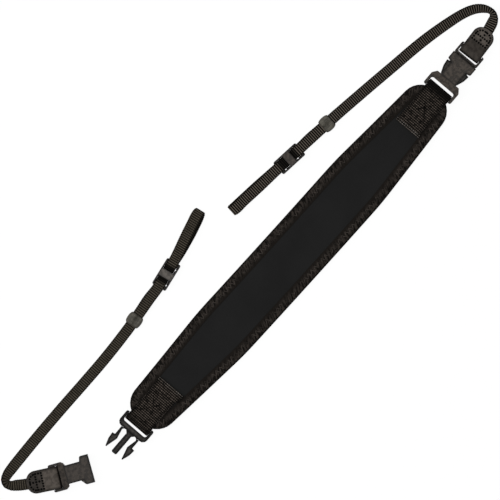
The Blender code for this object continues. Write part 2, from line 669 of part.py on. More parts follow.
def make_slider(name, frame, place, shift):
    """Three-bar slider: two low end bars, a high centre bar and two side rails.

    It sits off the webbing's middle line, towards its left where the shift is positive.
    """
    x, y, heading = place
    seat = frame_at(name + "_frame", (x, y, 0.0), heading, frame)
    half_length, half_width = SLIDER_LENGTH / 2, SLIDER_WIDTH / 2
    plan = [
        (-half_length, half_width, SLIDER_CORNER), (half_length, half_width, SLIDER_CORNER),
        (half_length, -half_width, SLIDER_CORNER), (-half_length, -half_width, SLIDER_CORNER),
    ]
    body = prism(name, rounded(plan), SLIDER_HEIGHT, EDGE_ROUND / 2)
    aside = shift * (half_width - SLIDER_RAIL - STRAP_WIDTH / 2 - GAP)
    middle = SLIDER_LIFT + SLIDER_HEIGHT / 2
    as_piece(body, name, PLASTIC_BLACK, seat, (0.0, aside, middle))
    inside = half_width - SLIDER_RAIL
    end_bar = half_length - SLIDER_END_BAR
    half_centre = SLIDER_CENTRE_BAR / 2
    floor, roof = -SLIDER_HEIGHT, SLIDER_HEIGHT
    low_top = SLIDER_LOW_TOP - middle
    high_base = SLIDER_HIGH_BASE - middle
    cuts = {
        "_front_slot": ((half_centre, -inside, floor), (end_bar, inside, roof)),
        "_rear_slot": ((-end_bar, -inside, floor), (-half_centre, inside, roof)),
        "_over_front": ((half_centre + GAP, -inside, low_top), (half_length + SLIDER_RAIL, inside, roof)),
        "_over_rear": ((-half_length - SLIDER_RAIL, -inside, low_top), (-half_centre - GAP, inside, roof)),
        "_under_centre": ((-end_bar + GAP, -inside, floor), (end_bar - GAP, inside, high_base)),
    }
    for word, (low, high) in cuts.items():
        shape_with(body, box(name + word, low, high), "DIFFERENCE")


def through_slider(over, under):
    """Heights of one webbing layer over the first end bar and on to the middle of the slider."""
    end_out, end_in = SLIDER_LENGTH / 2, SLIDER_LENGTH / 2 - SLIDER_END_BAR
    half_centre = SLIDER_CENTRE_BAR / 2
    return [(-end_out, 0.0, over), (-end_in, 0.0, over), (-half_centre, 0.0, under), (0.0, 0.0, under)]


def in_tab_frame(points, place):
    """Carry points from a slider's frame to its tab's frame."""
    x, y, heading = place
    cosine, sine = math.cos(math.radians(heading)), math.sin(math.radians(heading))
    return [
        (x + along * cosine - aside * sine, y + along * sine + aside * cosine, height, 0.0)
        for along, aside, height in points
    ]


def plan_left(points):
    """Directions to the left of a route, tipped by its bank, one for each point."""
    lefts = []
    for index, point in enumerate(points):
        behind = Vector(points[max(index - 1, 0)][:3])
        ahead = Vector(points[min(index + 1, len(points) - 1)][:3])
        along = (ahead - behind).normalized()
        level = Vector((-along.y, along.x, 0.0)).normalized()
        bank = math.radians(point[3])
        lefts.append(level * math.cos(bank) - along.cross(level) * math.sin(bank))
    return lefts


def ribbon(name, points, lefts):
    """Loft the thin webbing's rectangle along points, its width held along the given directions."""
    mesh = bpy.data.meshes.new(name)
    shell = bmesh.new()
    rings = []
    for index, point in enumerate(points):
        here = Vector(point[:3])
        behind = Vector(points[max(index - 1, 0)][:3])
        ahead = Vector(points[min(index + 1, len(points) - 1)][:3])
        along = (ahead - behind).normalized()
        side = (lefts[index] - along * lefts[index].dot(along)).normalized() * STRAP_WIDTH / 2
        face = along.cross(side).normalized() * STRAP_THICKNESS / 2
        corners = (here - side - face, here + side - face, here + side + face, here - side + face)
        rings.append([shell.verts.new(corner) for corner in corners])
    for ring, following in zip(rings, rings[1:]):
        for corner in range(4):
            after = (corner + 1) % 4
            shell.faces.new((ring[corner], following[corner], following[after], ring[after]))
    shell.faces.new(rings[0])
    shell.faces.new(rings[-1])
    bmesh.ops.recalc_face_normals(shell, faces=shell.faces)
    shell.to_mesh(mesh)
    shell.free()
    return bpy.data.objects.new(name, mesh)


def make_straps(side_name, frame, run, lead, loop, tail, slider):
    """Thin webbing in two lengths that meet under the slider's centre bar."""
    first = through_slider(OVER_MAIN, UNDER_MAIN)
    second = [(-along, aside, height) for along, aside, height in reversed(first)]
    back = [(along, aside, height - LAYER) for along, aside, height in second]
    forward = [(along, aside, height - LAYER) for along, aside, height in first]
    in_tab = [(TAB_LENGTH - STRAP_IN_TAB, 0.0, TAB_END_Z, 0.0), (TAB_LENGTH, 0.0, TAB_END_Z, 0.0)]
    near_end = [(-GAP / 2, 0.0, UNDER_MAIN)]
    route = smooth_route(in_tab + run + in_tab_frame(lead + first[:-1] + near_end, slider), ROUTE_STEP)
    name = side_name + "_strap_run"
    as_piece(ribbon(name, route, plan_left(route)), name, WEBBING_BLACK, frame)
    out, tip, home = loop
    start = [(GAP / 2, 0.0, UNDER_MAIN)]
    path = start + second[1:] + out + tip + home + back[::-1] + forward[::-1][1:] + tail
    route = smooth_route(in_tab_frame(path, slider), ROUTE_STEP)
    heading = math.radians(slider[2])
    left = Vector((-math.sin(heading), math.cos(heading), 0.0))
    name = side_name + "_strap_loop"
    as_piece(ribbon(name, route, [left] * len(route)), name, WEBBING_BLACK, frame)


def make_upper_end():
    """Socket on the pad with the plug clipped into it, and the plug's connector strap."""
    place = (PAD_HALF + END_REACH, UPPER_END_Y, 0.0)
    frame = frame_at("upper_end", place, UPPER_END_HEADING)
    make_webbing("upper_webbing", frame, WIDE_BAR_Z)
    mouth = make_socket(
        "upper_socket", frame, WIDE_BAR_Z, WIDE_FRAME, WIDE_SLOT, WIDE_SLOT_DEPTH, WIDE_BAR, WIDE_HEEL
    )
    root = NARROW_BAR / 2 + UPPER_PLUG_SLOT_DEPTH + NARROW_CROSSBAR
    plug_frame = frame_at("upper_plug_frame", (mouth + GAP + root, 0.0, 0.0), 180.0, frame)
    make_plug(
        "upper_plug", plug_frame, WIDE_BAR_Z, NARROW_FRAME, NARROW_SLOT, UPPER_PLUG_SLOT_DEPTH,
        NARROW_BAR, NARROW_CROSSBAR, NARROW_PLUG_CORNER,
    )
    make_prongs("upper", plug_frame, WIDE_BAR_Z, root, LATCHED_TURN)
    tab_frame = frame_at("upper_tab_frame", (mouth + GAP + root, 0.0, 0.0), UPPER_TAB_TURN, frame)
    make_tab("upper_tab", tab_frame, WIDE_BAR_Z)
    loop = (UPPER_LOOP_OUT, UPPER_LOOP_TIP, UPPER_LOOP_BACK)
    make_straps("upper", tab_frame, UPPER_RUN, UPPER_LEAD, loop, UPPER_TAIL, UPPER_SLIDER)
    make_keeper("upper_keeper", tab_frame, UPPER_KEEPER)
    make_slider("upper_slider", tab_frame, UPPER_SLIDER, 1.0)


def make_lower_end():
    """Plug on the pad, and apart from it the socket with its connector strap."""
    place = (-(PAD_HALF + END_REACH), LOWER_END_Y, 0.0)
    frame = frame_at("lower_end", place, LOWER_END_HEADING)
    make_webbing("lower_webbing", frame, PLUG_BAR_Z)
    root = make_plug(
        "lower_plug", frame, PLUG_BAR_Z, WIDE_FRAME, WIDE_SLOT, WIDE_SLOT_DEPTH, WIDE_BAR, WIDE_CROSSBAR,
        WIDE_PLUG_CORNER,
    )
    make_prongs("lower", frame, PLUG_BAR_Z, root, 0.0)
    away, aside = LOWER_SOCKET_FROM_PAD
    connector = frame_at("lower_connector", (-PAD_HALF + away, aside, 0.0), LOWER_SOCKET_HEADING)
    make_socket(
        "lower_socket", connector, WIDE_BAR_Z, NARROW_FRAME, NARROW_SLOT, LOWER_SOCKET_SLOT_DEPTH,
        NARROW_BAR, NARROW_HEEL,
    )
    tab_frame = frame_at("lower_tab_frame", (0.0, 0.0, 0.0), LOWER_TAB_TURN, connector)
    make_tab("lower_tab", tab_frame, WIDE_BAR_Z)
    loop = (LOWER_LOOP_OUT, LOWER_LOOP_TIP, LOWER_LOOP_BACK)
    make_straps("lower", tab_frame, LOWER_RUN, LOWER_LEAD, loop, LOWER_TAIL, LOWER_SLIDER)
    make_keeper("lower_keeper", tab_frame, LOWER_KEEPER)
    make_slider("lower_slider", tab_frame, LOWER_SLIDER, -1.0)


clear_scene()
make_pad()
make_upper_end()
make_lower_end()
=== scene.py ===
"""Looks of a padded quick-release neck strap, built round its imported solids.

The strap lies flat on a white surface. X runs along the pad towards the clipped buckle, Y across it, Z up.
"""
import logging
import math
from dataclasses import dataclass, field
from enum import Enum
from typing import Any, Sequence

import bmesh
import bpy
import numpy as np
from mathutils import Matrix, Vector
from mathutils.kdtree import KDTree


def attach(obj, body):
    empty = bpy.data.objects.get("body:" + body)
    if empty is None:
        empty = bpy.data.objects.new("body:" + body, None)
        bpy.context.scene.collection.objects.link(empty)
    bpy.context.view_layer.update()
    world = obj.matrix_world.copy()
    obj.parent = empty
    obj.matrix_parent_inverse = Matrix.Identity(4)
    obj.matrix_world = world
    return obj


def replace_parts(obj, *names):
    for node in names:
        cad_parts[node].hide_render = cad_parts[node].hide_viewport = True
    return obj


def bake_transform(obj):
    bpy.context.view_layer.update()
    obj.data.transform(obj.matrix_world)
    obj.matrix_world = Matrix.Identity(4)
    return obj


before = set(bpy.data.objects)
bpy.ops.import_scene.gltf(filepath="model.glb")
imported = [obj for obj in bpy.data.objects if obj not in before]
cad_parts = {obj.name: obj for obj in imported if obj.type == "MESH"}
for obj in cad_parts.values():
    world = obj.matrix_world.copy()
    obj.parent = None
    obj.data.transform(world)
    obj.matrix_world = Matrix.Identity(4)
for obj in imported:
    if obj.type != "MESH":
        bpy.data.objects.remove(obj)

LOG = logging.getLogger("neck_strap")
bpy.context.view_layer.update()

Piece = bpy.types.Object
Mesh = bpy.types.Mesh
Node = bpy.types.Node
NodeTree = bpy.types.NodeTree
NodeSocket = bpy.types.NodeSocket
Colour = tuple[float, float, float]
Point = tuple[float, float, float]
Spot = tuple[float, float]
Knot = tuple[float, ...]

MM = 0.001
# Room left between neighbours, and how far a small detail is sunk into what carries it.
GAP = 0.3 * MM
SINK = 0.1 * MM
# Stations to each rib of a webbing, and steps in a rounded turn.
RIB_STATIONS = 6
TURN_STEPS = 8
# Tolerances: points merged, cuts made, faces joined (in degrees) and lengths taken as none.
MERGE_WITHIN = 1e-6
CUT_WITHIN = 1e-7
FLAT_WITHIN = 1.0
NO_LENGTH = 1e-9


class Side(Enum):
    """The two ends of the pad."""

    UPPER = "upper"
    LOWER = "lower"


class Slot(Enum):
    """Material slots, by name."""

    PAD = "pad_cloth"
    BINDING = "binding_tape"
    WIDE = "wide_webbing"
    THIN = "thin_webbing"
    BUCKLE = "buckle_plastic"
    SLIDER = "slider_plastic"
    TAB = "tab_leather"
    KEEPER = "keeper_rubber"


class NodeSheet:
    """Short hand for laying out the nodes of one tree."""

    def __init__(self, tree: NodeTree) -> None:
        """Hold the tree that the nodes go in."""
        self.tree = tree

    def node(self, kind: str, inputs: dict[Any, Any] | None = None, **settings: Any) -> Node:
        """Add a node, with its settings and inputs.

        Args:
            kind: Blender's name of the node type.
            inputs: value or feeding socket for each named or numbered input.
            settings: properties of the node itself.

        Returns:
            The new node.
        """
        node = self.tree.nodes.new(kind)
        for name, value in settings.items():
            setattr(node, name, value)
        for name, value in (inputs or {}).items():
            if isinstance(value, NodeSocket):
                self.tree.links.new(value, node.inputs[name])
            else:
                node.inputs[name].default_value = value
        return node

    def math(self, operation: str, *values: Any, kind: str = "ShaderNodeMath") -> NodeSocket:
        """Work out one number from others.

        Args:
            operation: Blender's name of the operation.
            values: numbers or sockets.
            kind: node type, the same in shaders and in geometry.

        Returns:
            The socket with the result.
        """
        return self.node(kind, dict(enumerate(values)), operation=operation).outputs[0]


def open_group(name: str, kind: str, inputs: dict[str, tuple[str, Any]], outputs: dict[str, str]) -> tuple:
    """Start a node group with named sockets.

    Args:
        name: name of the group.
        kind: type of node tree.
        inputs: socket type and first value for each input.
        outputs: socket type for each output.

    Returns:
        The sheet to lay nodes on, the input node's sockets and the output node.
    """
    tree = bpy.data.node_groups.new(name, kind)
    for title, (socket_type, value) in inputs.items():
        socket = tree.interface.new_socket(title, in_out="INPUT", socket_type=socket_type)
        if value is not None:
            socket.default_value = value
    for title, socket_type in outputs.items():
        tree.interface.new_socket(title, in_out="OUTPUT", socket_type=socket_type)
    sheet = NodeSheet(tree)
    return sheet, sheet.node("NodeGroupInput").outputs, sheet.node("NodeGroupOutput")


class SurfaceGroups:
    """Shader effects that several finishes share, each built once."""

    FLOAT = "NodeSocketFloat"
    VECTOR = "NodeSocketVector"

    def __init__(self) -> None:
        """Build the groups."""
        self.patchy = self._patchy()
        self.ribs = self._ribs()
        self.grain = self._grain()

    def _patchy(self) -> NodeTree:
        """Cloudy mask for uneven dye and dust."""
        sheet, given, result = open_group(
            "patchy", "ShaderNodeTree",
            {"Vector": (self.VECTOR, None), "Scale": (self.FLOAT, 100.0),
             "Low": (self.FLOAT, 0.4), "High": (self.FLOAT, 0.6)},
            {"Mask": self.FLOAT},
        )
        cloud = sheet.node(
            "ShaderNodeTexNoise", {"Vector": given["Vector"], "Scale": given["Scale"], "Detail": 3.0}
        )
        spread = sheet.node(
            "ShaderNodeMapRange",
            {"Value": cloud.outputs[0], "From Min": given["Low"], "From Max": given["High"]},
            interpolation_type="SMOOTHSTEP",
        )
        sheet.tree.links.new(spread.outputs[0], result.inputs["Mask"])
        return sheet.tree

    def _ribs(self) -> NodeTree:
        """Cross ribs and yarns of webbing, read along and across its own map."""
        sheet, given, result = open_group(
            "webbing_ribs", "ShaderNodeTree",
            {"Vector": (self.VECTOR, None), "Pitch": (self.FLOAT, 0.002), "Yarn": (self.FLOAT, 0.0008)},
            {"Crest": self.FLOAT, "Yarn": self.FLOAT, "Height": self.FLOAT},
        )
        across, along = sheet.node("ShaderNodeSeparateXYZ", {0: given["Vector"]}).outputs[:2]
        turn = sheet.math("MULTIPLY", sheet.math("DIVIDE", along, given["Pitch"]), math.pi)
        crest = sheet.math("ABSOLUTE", sheet.math("SINE", turn))
        strand = sheet.math("MULTIPLY", sheet.math("DIVIDE", across, given["Yarn"]), math.tau)
        lean = sheet.math("ADD", strand, sheet.math("MULTIPLY", turn, 2.0))
        yarn = sheet.math("MULTIPLY_ADD", sheet.math("SINE", lean), 0.5, 0.5)
        height = sheet.math("MULTIPLY_ADD", yarn, 0.5, crest)
        sheet.tree.links.new(crest, result.inputs["Crest"])
        sheet.tree.links.new(yarn, result.inputs["Yarn"])
        sheet.tree.links.new(height, result.inputs["Height"])
        return sheet.tree

    def _grain(self) -> NodeTree:
        """Pebbled height of leather, rubber and spark-eroded mouldings."""
        sheet, given, result = open_group(
            "pebbled_grain", "ShaderNodeTree",
            {"Vector": (self.VECTOR, None), "Scale": (self.FLOAT, 900.0)},
            {"Height": self.FLOAT},
        )
        laid = {"Vector": given["Vector"], "Scale": given["Scale"]}
        cells = sheet.node("ShaderNodeTexVoronoi", laid, feature="SMOOTH_F1")
        fine = sheet.node("ShaderNodeTexNoise", {**laid, "Detail": 4.0})
        height = sheet.math("MULTIPLY_ADD", fine.outputs[0], 0.5, cells.outputs["Distance"])
        sheet.tree.links.new(height, result.inputs["Height"])
        return sheet.tree


GROUPS = SurfaceGroups()
GRAINS_TO_A_PATCH = 8


@dataclass(frozen=True)
class Finish:
    """A surface: two close colours, how they mix, and its gloss.

    Attributes:
        name: name of the material.
        dark: colour of the hollows, and of painted shade.
        light: colour of the raised or worn places, where no shade is painted.
        roughness: of the whole surface.
        specular: Specular IOR Level.
        scale: grain or patches to the metre.
        bump: height of the finest relief, in metres.
        mottle: how far patches pull the colour from light to dark.
    """

    name: str
    dark: Colour
    light: Colour
    roughness: float
    specular: float
    scale: float
    bump: float
    mottle: float = 0.4

    def material(self) -> bpy.types.Material:
        """Build the material, or return the one already built."""
        made = bpy.data.materials.get(self.name)
        if made:
            return made
        made = bpy.data.materials.new(self.name)
        made.use_nodes = True
        made.diffuse_color = (*self.light, 1.0)
        sheet = NodeSheet(made.node_tree)
        shader = made.node_tree.nodes["Principled BSDF"]
        shader.inputs["Roughness"].default_value = self.roughness
        shader.inputs["Specular IOR Level"].default_value = self.specular
        mask, height = self.pattern(sheet)
        ends = {"A": (*self.dark, 1.0), "B": (*self.light, 1.0)}
        colour = sheet.node("ShaderNodeMix", {"Factor": mask, **ends}, data_type="RGBA")
        relief = sheet.node("ShaderNodeBump", {"Height": height, "Distance": self.bump, "Strength": 1.0})
        sheet.tree.links.new(colour.outputs["Result"], shader.inputs["Base Color"])
        sheet.tree.links.new(relief.outputs[0], shader.inputs["Normal"])
        return made

    def place(self, sheet: NodeSheet, source: str = "Object") -> NodeSocket:
        """Return the coordinates that the pattern is laid by."""
        return sheet.node("ShaderNodeTexCoord").outputs[source]

    def lit(self, sheet: NodeSheet) -> NodeSocket:
        """Return 1 less the piece's 'shade' attribute, mostly painted shade and in places a darker tone,
        which is 0 where a piece has none.
        """
        shade = sheet.node("ShaderNodeAttribute", None, attribute_name="shade").outputs["Fac"]
        return sheet.math("SUBTRACT", 1.0, shade)

    def group(self, sheet: NodeSheet, tree: NodeTree, inputs: dict[str, Any]) -> Any:
        """Place a shared effect with its own values and return its outputs."""
        return sheet.node("ShaderNodeGroup", inputs, node_tree=tree).outputs

    def patches(
        self, sheet: NodeSheet, place: NodeSocket, scale: float, low: float, high: float
    ) -> NodeSocket:
        """Return a mask of patches, from none where the noise is low to full where it is high."""
        inputs = {"Vector": place, "Scale": scale, "Low": low, "High": high}
        return self.group(sheet, GROUPS.patchy, inputs)["Mask"]

    def pattern(self, sheet: NodeSheet) -> tuple[NodeSocket, NodeSocket]:
        """Return the mask between the two colours and the height of the relief."""
        place = self.place(sheet)
        mask = self.patches(sheet, place, self.scale / GRAINS_TO_A_PATCH, low=0.4, high=0.6)
        height = self.group(sheet, GROUPS.grain, {"Vector": place, "Scale": self.scale})
        uneven = sheet.math("MULTIPLY_ADD", mask, self.mottle, 1.0 - self.mottle)
        return sheet.math("MULTIPLY", uneven, self.lit(sheet)), height["Height"]


@dataclass(frozen=True)
class PanelCloth(Finish):
    """Smooth stretch cloth: faint broad patches and a very fine knit."""

    def pattern(self, sheet: NodeSheet) -> tuple[NodeSocket, NodeSocket]:
        """Return broad patches and the knit's height."""
        place = self.place(sheet)
        mask = self.patches(sheet, place, scale=30.0, low=0.3, high=0.7)
        knit = sheet.node("ShaderNodeTexNoise", {"Vector": place, "Scale": self.scale, "Detail": 2.0})
        return mask, knit.outputs[0]


@dataclass(frozen=True)
class Webbing(Finish):
    """Ribbed webbing, patterned by its own map: across in U and along in V, in metres.

    Attributes:
        pitch: from rib to rib.
        yarn: width of one yarn.
        weave: how far the yarns break up a rib.
        steep: how narrow the light crest of a rib is; light crests and dark hollows are partly the yarns'
            colour and partly painted highlight and shade.
    """

    pitch: float = 2.1 * MM
    yarn: float = 0.9 * MM
    weave: float = 0.0
    steep: float = 2.0

    def pattern(self, sheet: NodeSheet) -> tuple[NodeSocket, NodeSocket]:
        """Return crests broken up by dusty patches, and the yarns' height."""
        ribs = self.group(
            sheet, GROUPS.ribs, {"Vector": self.place(sheet, "UV"), "Pitch": self.pitch, "Yarn": self.yarn}
        )
        dust = self.patches(sheet, self.place(sheet), self.scale, low=0.25, high=0.6)
        steep = sheet.math("POWER", ribs["Crest"], self.steep)
        broken = sheet.math("SUBTRACT", 1.0, sheet.math("MULTIPLY", ribs["Yarn"], self.weave))
        dusty = sheet.math("MULTIPLY_ADD", dust, self.mottle, 1.0 - self.mottle)
        mask = sheet.math("MULTIPLY", sheet.math("MULTIPLY", steep, broken), dusty)
        return sheet.math("MULTIPLY", mask, self.lit(sheet)), ribs["Height"]


@dataclass(frozen=True)
class Tape(Finish):
    """Folded edge tape with slanting strokes across it, which fade into the cloth beside it.

    Attributes:
        stretch: how much longer a stroke is than it is wide.
        lean: how far a stroke slants along the tape for each step across.
        plain: tone of the cloth that the strokes fade into; a shade past 1 goes on to the dark colour as
            painted shade.
    """

    stretch: float = 3.0
    lean: float = 0.5
    plain: float = 0.22

    def pattern(self, sheet: NodeSheet) -> tuple[NodeSocket, NodeSocket]:
        """Return strokes that fade by the tape's own shade, and their height."""
        across, along = sheet.node("ShaderNodeSeparateXYZ", {0: self.place(sheet, "UV")}).outputs[:2]
        slanted = sheet.math("MULTIPLY_ADD", across, self.lean, along)
        slim = sheet.math("DIVIDE", across, self.stretch)
        place = sheet.node("ShaderNodeCombineXYZ", {"X": slim, "Y": slanted}).outputs[0]
        strokes = self.patches(sheet, place, self.scale, low=0.40, high=0.62)
        lit = self.lit(sheet)
        kept = sheet.math("MULTIPLY", strokes, sheet.math("MAXIMUM", lit, 0.0))
        cloth = sheet.math("SUBTRACT", 1.0, sheet.math("ABSOLUTE", lit))
        return sheet.math("MULTIPLY_ADD", cloth, self.plain, kept), strokes


PAD_CLOTH = PanelCloth(
    "stretch_cloth", (0.0115, 0.0115, 0.0115), (0.0135, 0.0135, 0.0135), 0.85, 0.04, 1600.0, 0.04 * MM
)
EDGE_TAPE = Tape(
    "edge_tape", (0.0035, 0.0029, 0.0025), (0.0325, 0.0268, 0.0228), 0.90, 0.04, 560.0, 0.12 * MM
)
WIDE_WEB = Webbing(
    "wide_web", (0.0008, 0.0006, 0.0005), (0.1500, 0.1220, 0.1010), 0.85, 0.05, 350.0, 0.12 * MM, 1.0,
    pitch=1.9 * MM, yarn=1.8 * MM, weave=0.95, steep=4.6,
)
THIN_WEB = Webbing(
    "thin_web", (0.0010, 0.0008, 0.0006), (0.1680, 0.1410, 0.1150), 0.85, 0.05, 300.0, 0.12 * MM, 0.25,
    pitch=2.05 * MM, yarn=1.6 * MM, weave=0.2, steep=10.0,
)
DUSKY_WEB = Webbing(
    "dusky_web", (0.0010, 0.0008, 0.0006), (0.1020, 0.0870, 0.0660), 0.85, 0.05, 300.0, 0.12 * MM, 0.3,
    pitch=2.05 * MM, yarn=1.5 * MM, weave=0.7, steep=2.0,
)
THREAD = Finish(
    "black_thread", (0.0006, 0.0006, 0.0006), (0.0012, 0.0011, 0.0010), 0.7, 0.03, 3000.0, 0.02 * MM
)
TAPE_THREAD = Finish(
    "brown_thread", (0.0080, 0.0066, 0.0058), (0.0560, 0.0470, 0.0410), 0.7, 0.05, 900.0, 0.02 * MM, 0.8
)
GREY_THREAD = Finish(
    "dusty_thread", (0.0400, 0.0360, 0.0320), (0.1700, 0.1560, 0.1420), 0.7, 0.05, 900.0, 0.02 * MM, 0.8
)
PLASTIC = Finish(
    "satin_plastic", (0.0030, 0.0026, 0.0022), (0.0520, 0.0420, 0.0340), 0.42, 0.10, 3000.0, 0.06 * MM, 0.6
)
PALE_PLASTIC = Finish(
    "worn_plastic", (0.0040, 0.0036, 0.0032), (0.1000, 0.0890, 0.0775), 0.42, 0.10, 3000.0, 0.06 * MM, 0.5
)
DARK_PLASTIC = Finish(
    "dark_plastic", (0.0018, 0.0017, 0.0015), (0.0460, 0.0420, 0.0380), 0.45, 0.05, 3000.0, 0.06 * MM, 0.5
)
LEATHER = Finish(
    "grained_leather", (0.0035, 0.0028, 0.0022), (0.0920, 0.0780, 0.0665), 0.55, 0.08, 2400.0, 0.14 * MM, 0.4
)
RUBBER = Finish(
    "ring_rubber", (0.0100, 0.0092, 0.0076), (0.1000, 0.0935, 0.0775), 0.55, 0.10, 2600.0, 0.03 * MM, 0.4
)


@dataclass(frozen=True)
class Place:
    """A spot on the surface, with a heading in degrees, in its parent's frame."""

    x: float
    y: float
    heading: float

    def matrix(self) -> Matrix:
        """Return the turn and shift from this frame to its parent's."""
        return Matrix.Translation((self.x, self.y, 0.0)) @ Matrix.Rotation(math.radians(self.heading), 4, "Z")


def carried(points: Sequence[Knot], frame_of: Matrix) -> list[Point]:
    """Carry points, each with three or more numbers, through a frame.

    Args:
        points: places in the frame, the rest of each point is kept as it is.
        frame_of: matrix from that frame to the strap's.

    Returns:
        The points in the strap's frame.
    """
    return [(*(frame_of @ Vector(point[:3])), *point[3:]) for point in points]


def level_lefts(frame_of: Matrix, count: int) -> np.ndarray:
    """Return a frame's own left direction, repeated for each point of a line."""
    return np.tile(frame_of.to_3x3() @ Vector((0.0, 1.0, 0.0)), (count, 1))


def unit_rows(rows: np.ndarray) -> np.ndarray:
    """Return directions scaled to unit length."""
    return rows / np.linalg.norm(rows, axis=1)[:, None]


def distances(points: np.ndarray) -> np.ndarray:
    """Return the distance along a line at each of its points."""
    return np.concatenate([[0.0], np.cumsum(np.linalg.norm(np.diff(points[:, :3], axis=0), axis=1))])


def quarter_angles(steps: int = TURN_STEPS) -> list[float]:
    """Return the angles of a quarter turn at even steps."""
    return [math.pi / 2 * step / steps for step in range(steps + 1)]


def bar_turn(reach: float, rise: float, height: float, way: float) -> list[Point]:
    """Return the half turn of a strip round a bar, from above it to below it.

    Args:
        reach: how far the turn stands out.
        rise: how far it stands above and below the bar's middle.
        height: of the bar's middle.
        way: 1 to turn round the back of the bar, -1 to turn round its front.

    Returns:
        Points in the bar's frame.
    """
    angles = [math.pi / 2 + way * math.pi * step / TURN_STEPS for step in range(TURN_STEPS + 1)]
    return [(reach * math.cos(angle), 0.0, height + rise * math.sin(angle)) for angle in angles]


def smooth_route(route: Sequence[Knot], step: float) -> np.ndarray:
    """Read a smooth curve through a route at even steps.

    Args:
        route: knots, the first three numbers of each a place and the rest carried along.
        step: distance between the points that are read.

    Returns:
        One row for each point.
    """
    knots = np.array(route, dtype=float)
    spans = np.linalg.norm(np.diff(knots[:, :3], axis=0), axis=1)
    slopes = np.diff(knots, axis=0) / spans[:, None]
    tangents = np.empty_like(knots)
    tangents[0], tangents[-1] = slopes[0], slopes[-1]
    weight = (spans[1:] / (spans[1:] + spans[:-1]))[:, None]
    tangents[1:-1] = slopes[:-1] * weight + slopes[1:] * (1.0 - weight)
    rows = []
    for index, span in enumerate(spans):
        t = np.linspace(0.0, 1.0, max(3, math.ceil(span / step * 2)), endpoint=False)[:, None]
        rows.append(
            knots[index] * (2 * t**3 - 3 * t**2 + 1)
            + knots[index + 1] * (3 * t**2 - 2 * t**3)
            + tangents[index] * span * (t**3 - 2 * t**2 + t)
            + tangents[index + 1] * span * (t**3 - t**2)
        )
    dense = np.vstack(rows + [knots[-1:]])
    reach = distances(dense)
    even = np.linspace(0.0, reach[-1], max(2, round(reach[-1] / step)) + 1)
    return np.column_stack([np.interp(even, reach, column) for column in dense.T])


def show(name: str, mesh: Mesh) -> Piece:
    """Put a mesh in the scene as a piece at the origin."""
    piece = bpy.data.objects.new(name, mesh)
    bpy.context.scene.collection.objects.link(piece)
    return piece


def plain_mesh(name: str, shell: bmesh.types.BMesh) -> Mesh:
    """Turn a shell that is done with into a mesh."""
    mesh = bpy.data.meshes.new(name)
    shell.to_mesh(mesh)
    shell.free()
    return mesh


def smooth_shaded(mesh: Mesh, angle: float = 35.0) -> Mesh:
    """Shade a mesh smooth, with edges sharper than the angle kept crisp."""
    mesh.polygons.foreach_set("use_smooth", [True] * len(mesh.polygons))
    mesh.set_sharp_from_angle(angle=math.radians(angle))
    return mesh


def loft(name: str, rings: np.ndarray, endless: bool = False, shade: np.ndarray | None = None) -> Piece:
    """Skin closed rings of points into a closed piece with a map in metres.

    The map's U runs round a ring and its V along the piece. The same length is kept as the attribute "along".

    Args:
        name: name of the piece.
        rings: places by station and corner.
        endless: whether the last ring joins the first.
        shade: how far the surface is darkened, from 0 to 1, by station and corner.

    Returns:
        The piece.
    """
    stations, corners = rings.shape[:2]
    middle = rings.mean(axis=1)
    along = distances(np.vstack([middle, middle[:1]]))
    first = rings[stations // 2]
    around = distances(np.vstack([first, first[:1]]))
    shell = bmesh.new()
    length = shell.verts.layers.float.new("along")
    darker = shell.verts.layers.float.new("shade")
    own_map = shell.loops.layers.uv.new("map")
    verts = [[shell.verts.new(place) for place in ring] for ring in rings]
    shade = np.zeros((stations, corners)) if shade is None else shade
    for row, distance, tones in zip(verts, along, shade):
        for vert, tone in zip(row, tones):
            vert[length] = distance
            vert[darker] = tone
    for station in range(stations if endless else stations - 1):
        ahead = (station + 1) % stations
        for corner in range(corners):
            beside = (corner + 1) % corners
            face = shell.faces.new(
                (verts[station][corner], verts[ahead][corner], verts[ahead][beside], verts[station][beside])
            )
            u, v = (around[corner], around[corner + 1]), (along[station], along[station + 1])
            for loop, spot in zip(face.loops, ((u[0], v[0]), (u[0], v[1]), (u[1], v[1]), (u[1], v[0]))):
                loop[own_map].uv = spot
    if not endless:
        shell.faces.new(verts[0])
        shell.faces.new(verts[-1])
    bmesh.ops.recalc_face_normals(shell, faces=shell.faces)
    return show(name, smooth_shaded(plain_mesh(name, shell)))


# Upper half of a strip's section, in halves of its width and thickness, and the painted shade along its
# rounded edges, the selvedges.
RIBBON_HALF = (
    (-1.0, 0.55), (-0.93, 0.96), (-0.72, 1.0), (-0.36, 1.0), (0.0, 1.0),
    (0.36, 1.0), (0.72, 1.0), (0.93, 0.96), (1.0, 0.55),
)
RIBBON_SECTION = np.array(RIBBON_HALF + tuple((-across, -up) for across, up in RIBBON_HALF))
SELVEDGE_FROM = 0.85
SELVEDGE_SHADE = 0.85


def ribbon(
    name: str, points: np.ndarray, lefts: np.ndarray, width: float | np.ndarray, thickness: float,
    shade: np.ndarray | None = None,
) -> Piece:
    """Loft a flat strip with soft edges, darkened by painted shade, along a line.

    Args:
        name: name of the piece.
        points: middle line.
        lefts: direction of the strip's width at each point.
        width: of the strip, or its width at each point.
        thickness: of the strip.
        shade: how far the strip is darkened at each point.

    Returns:
        The piece.
    """
    places = points[:, :3]
    along = unit_rows(np.gradient(places, axis=0))
    side = unit_rows(lefts)
    face = unit_rows(np.cross(along, side))
    across, up = RIBBON_SECTION.T
    half = np.broadcast_to(np.asarray(width, dtype=float) / 2, len(places))
    rings = (
        places[:, None]
        + side[:, None] * across[None, :, None] * half[:, None, None]
        + face[:, None] * up[None, :, None] * thickness / 2
    )
    tones = np.zeros(len(places)) if shade is None else shade
    edges = np.where(np.abs(across) > SELVEDGE_FROM, SELVEDGE_SHADE, 0.0)
    return loft(name, rings, shade=np.maximum(tones[:, None], edges[None, :]))


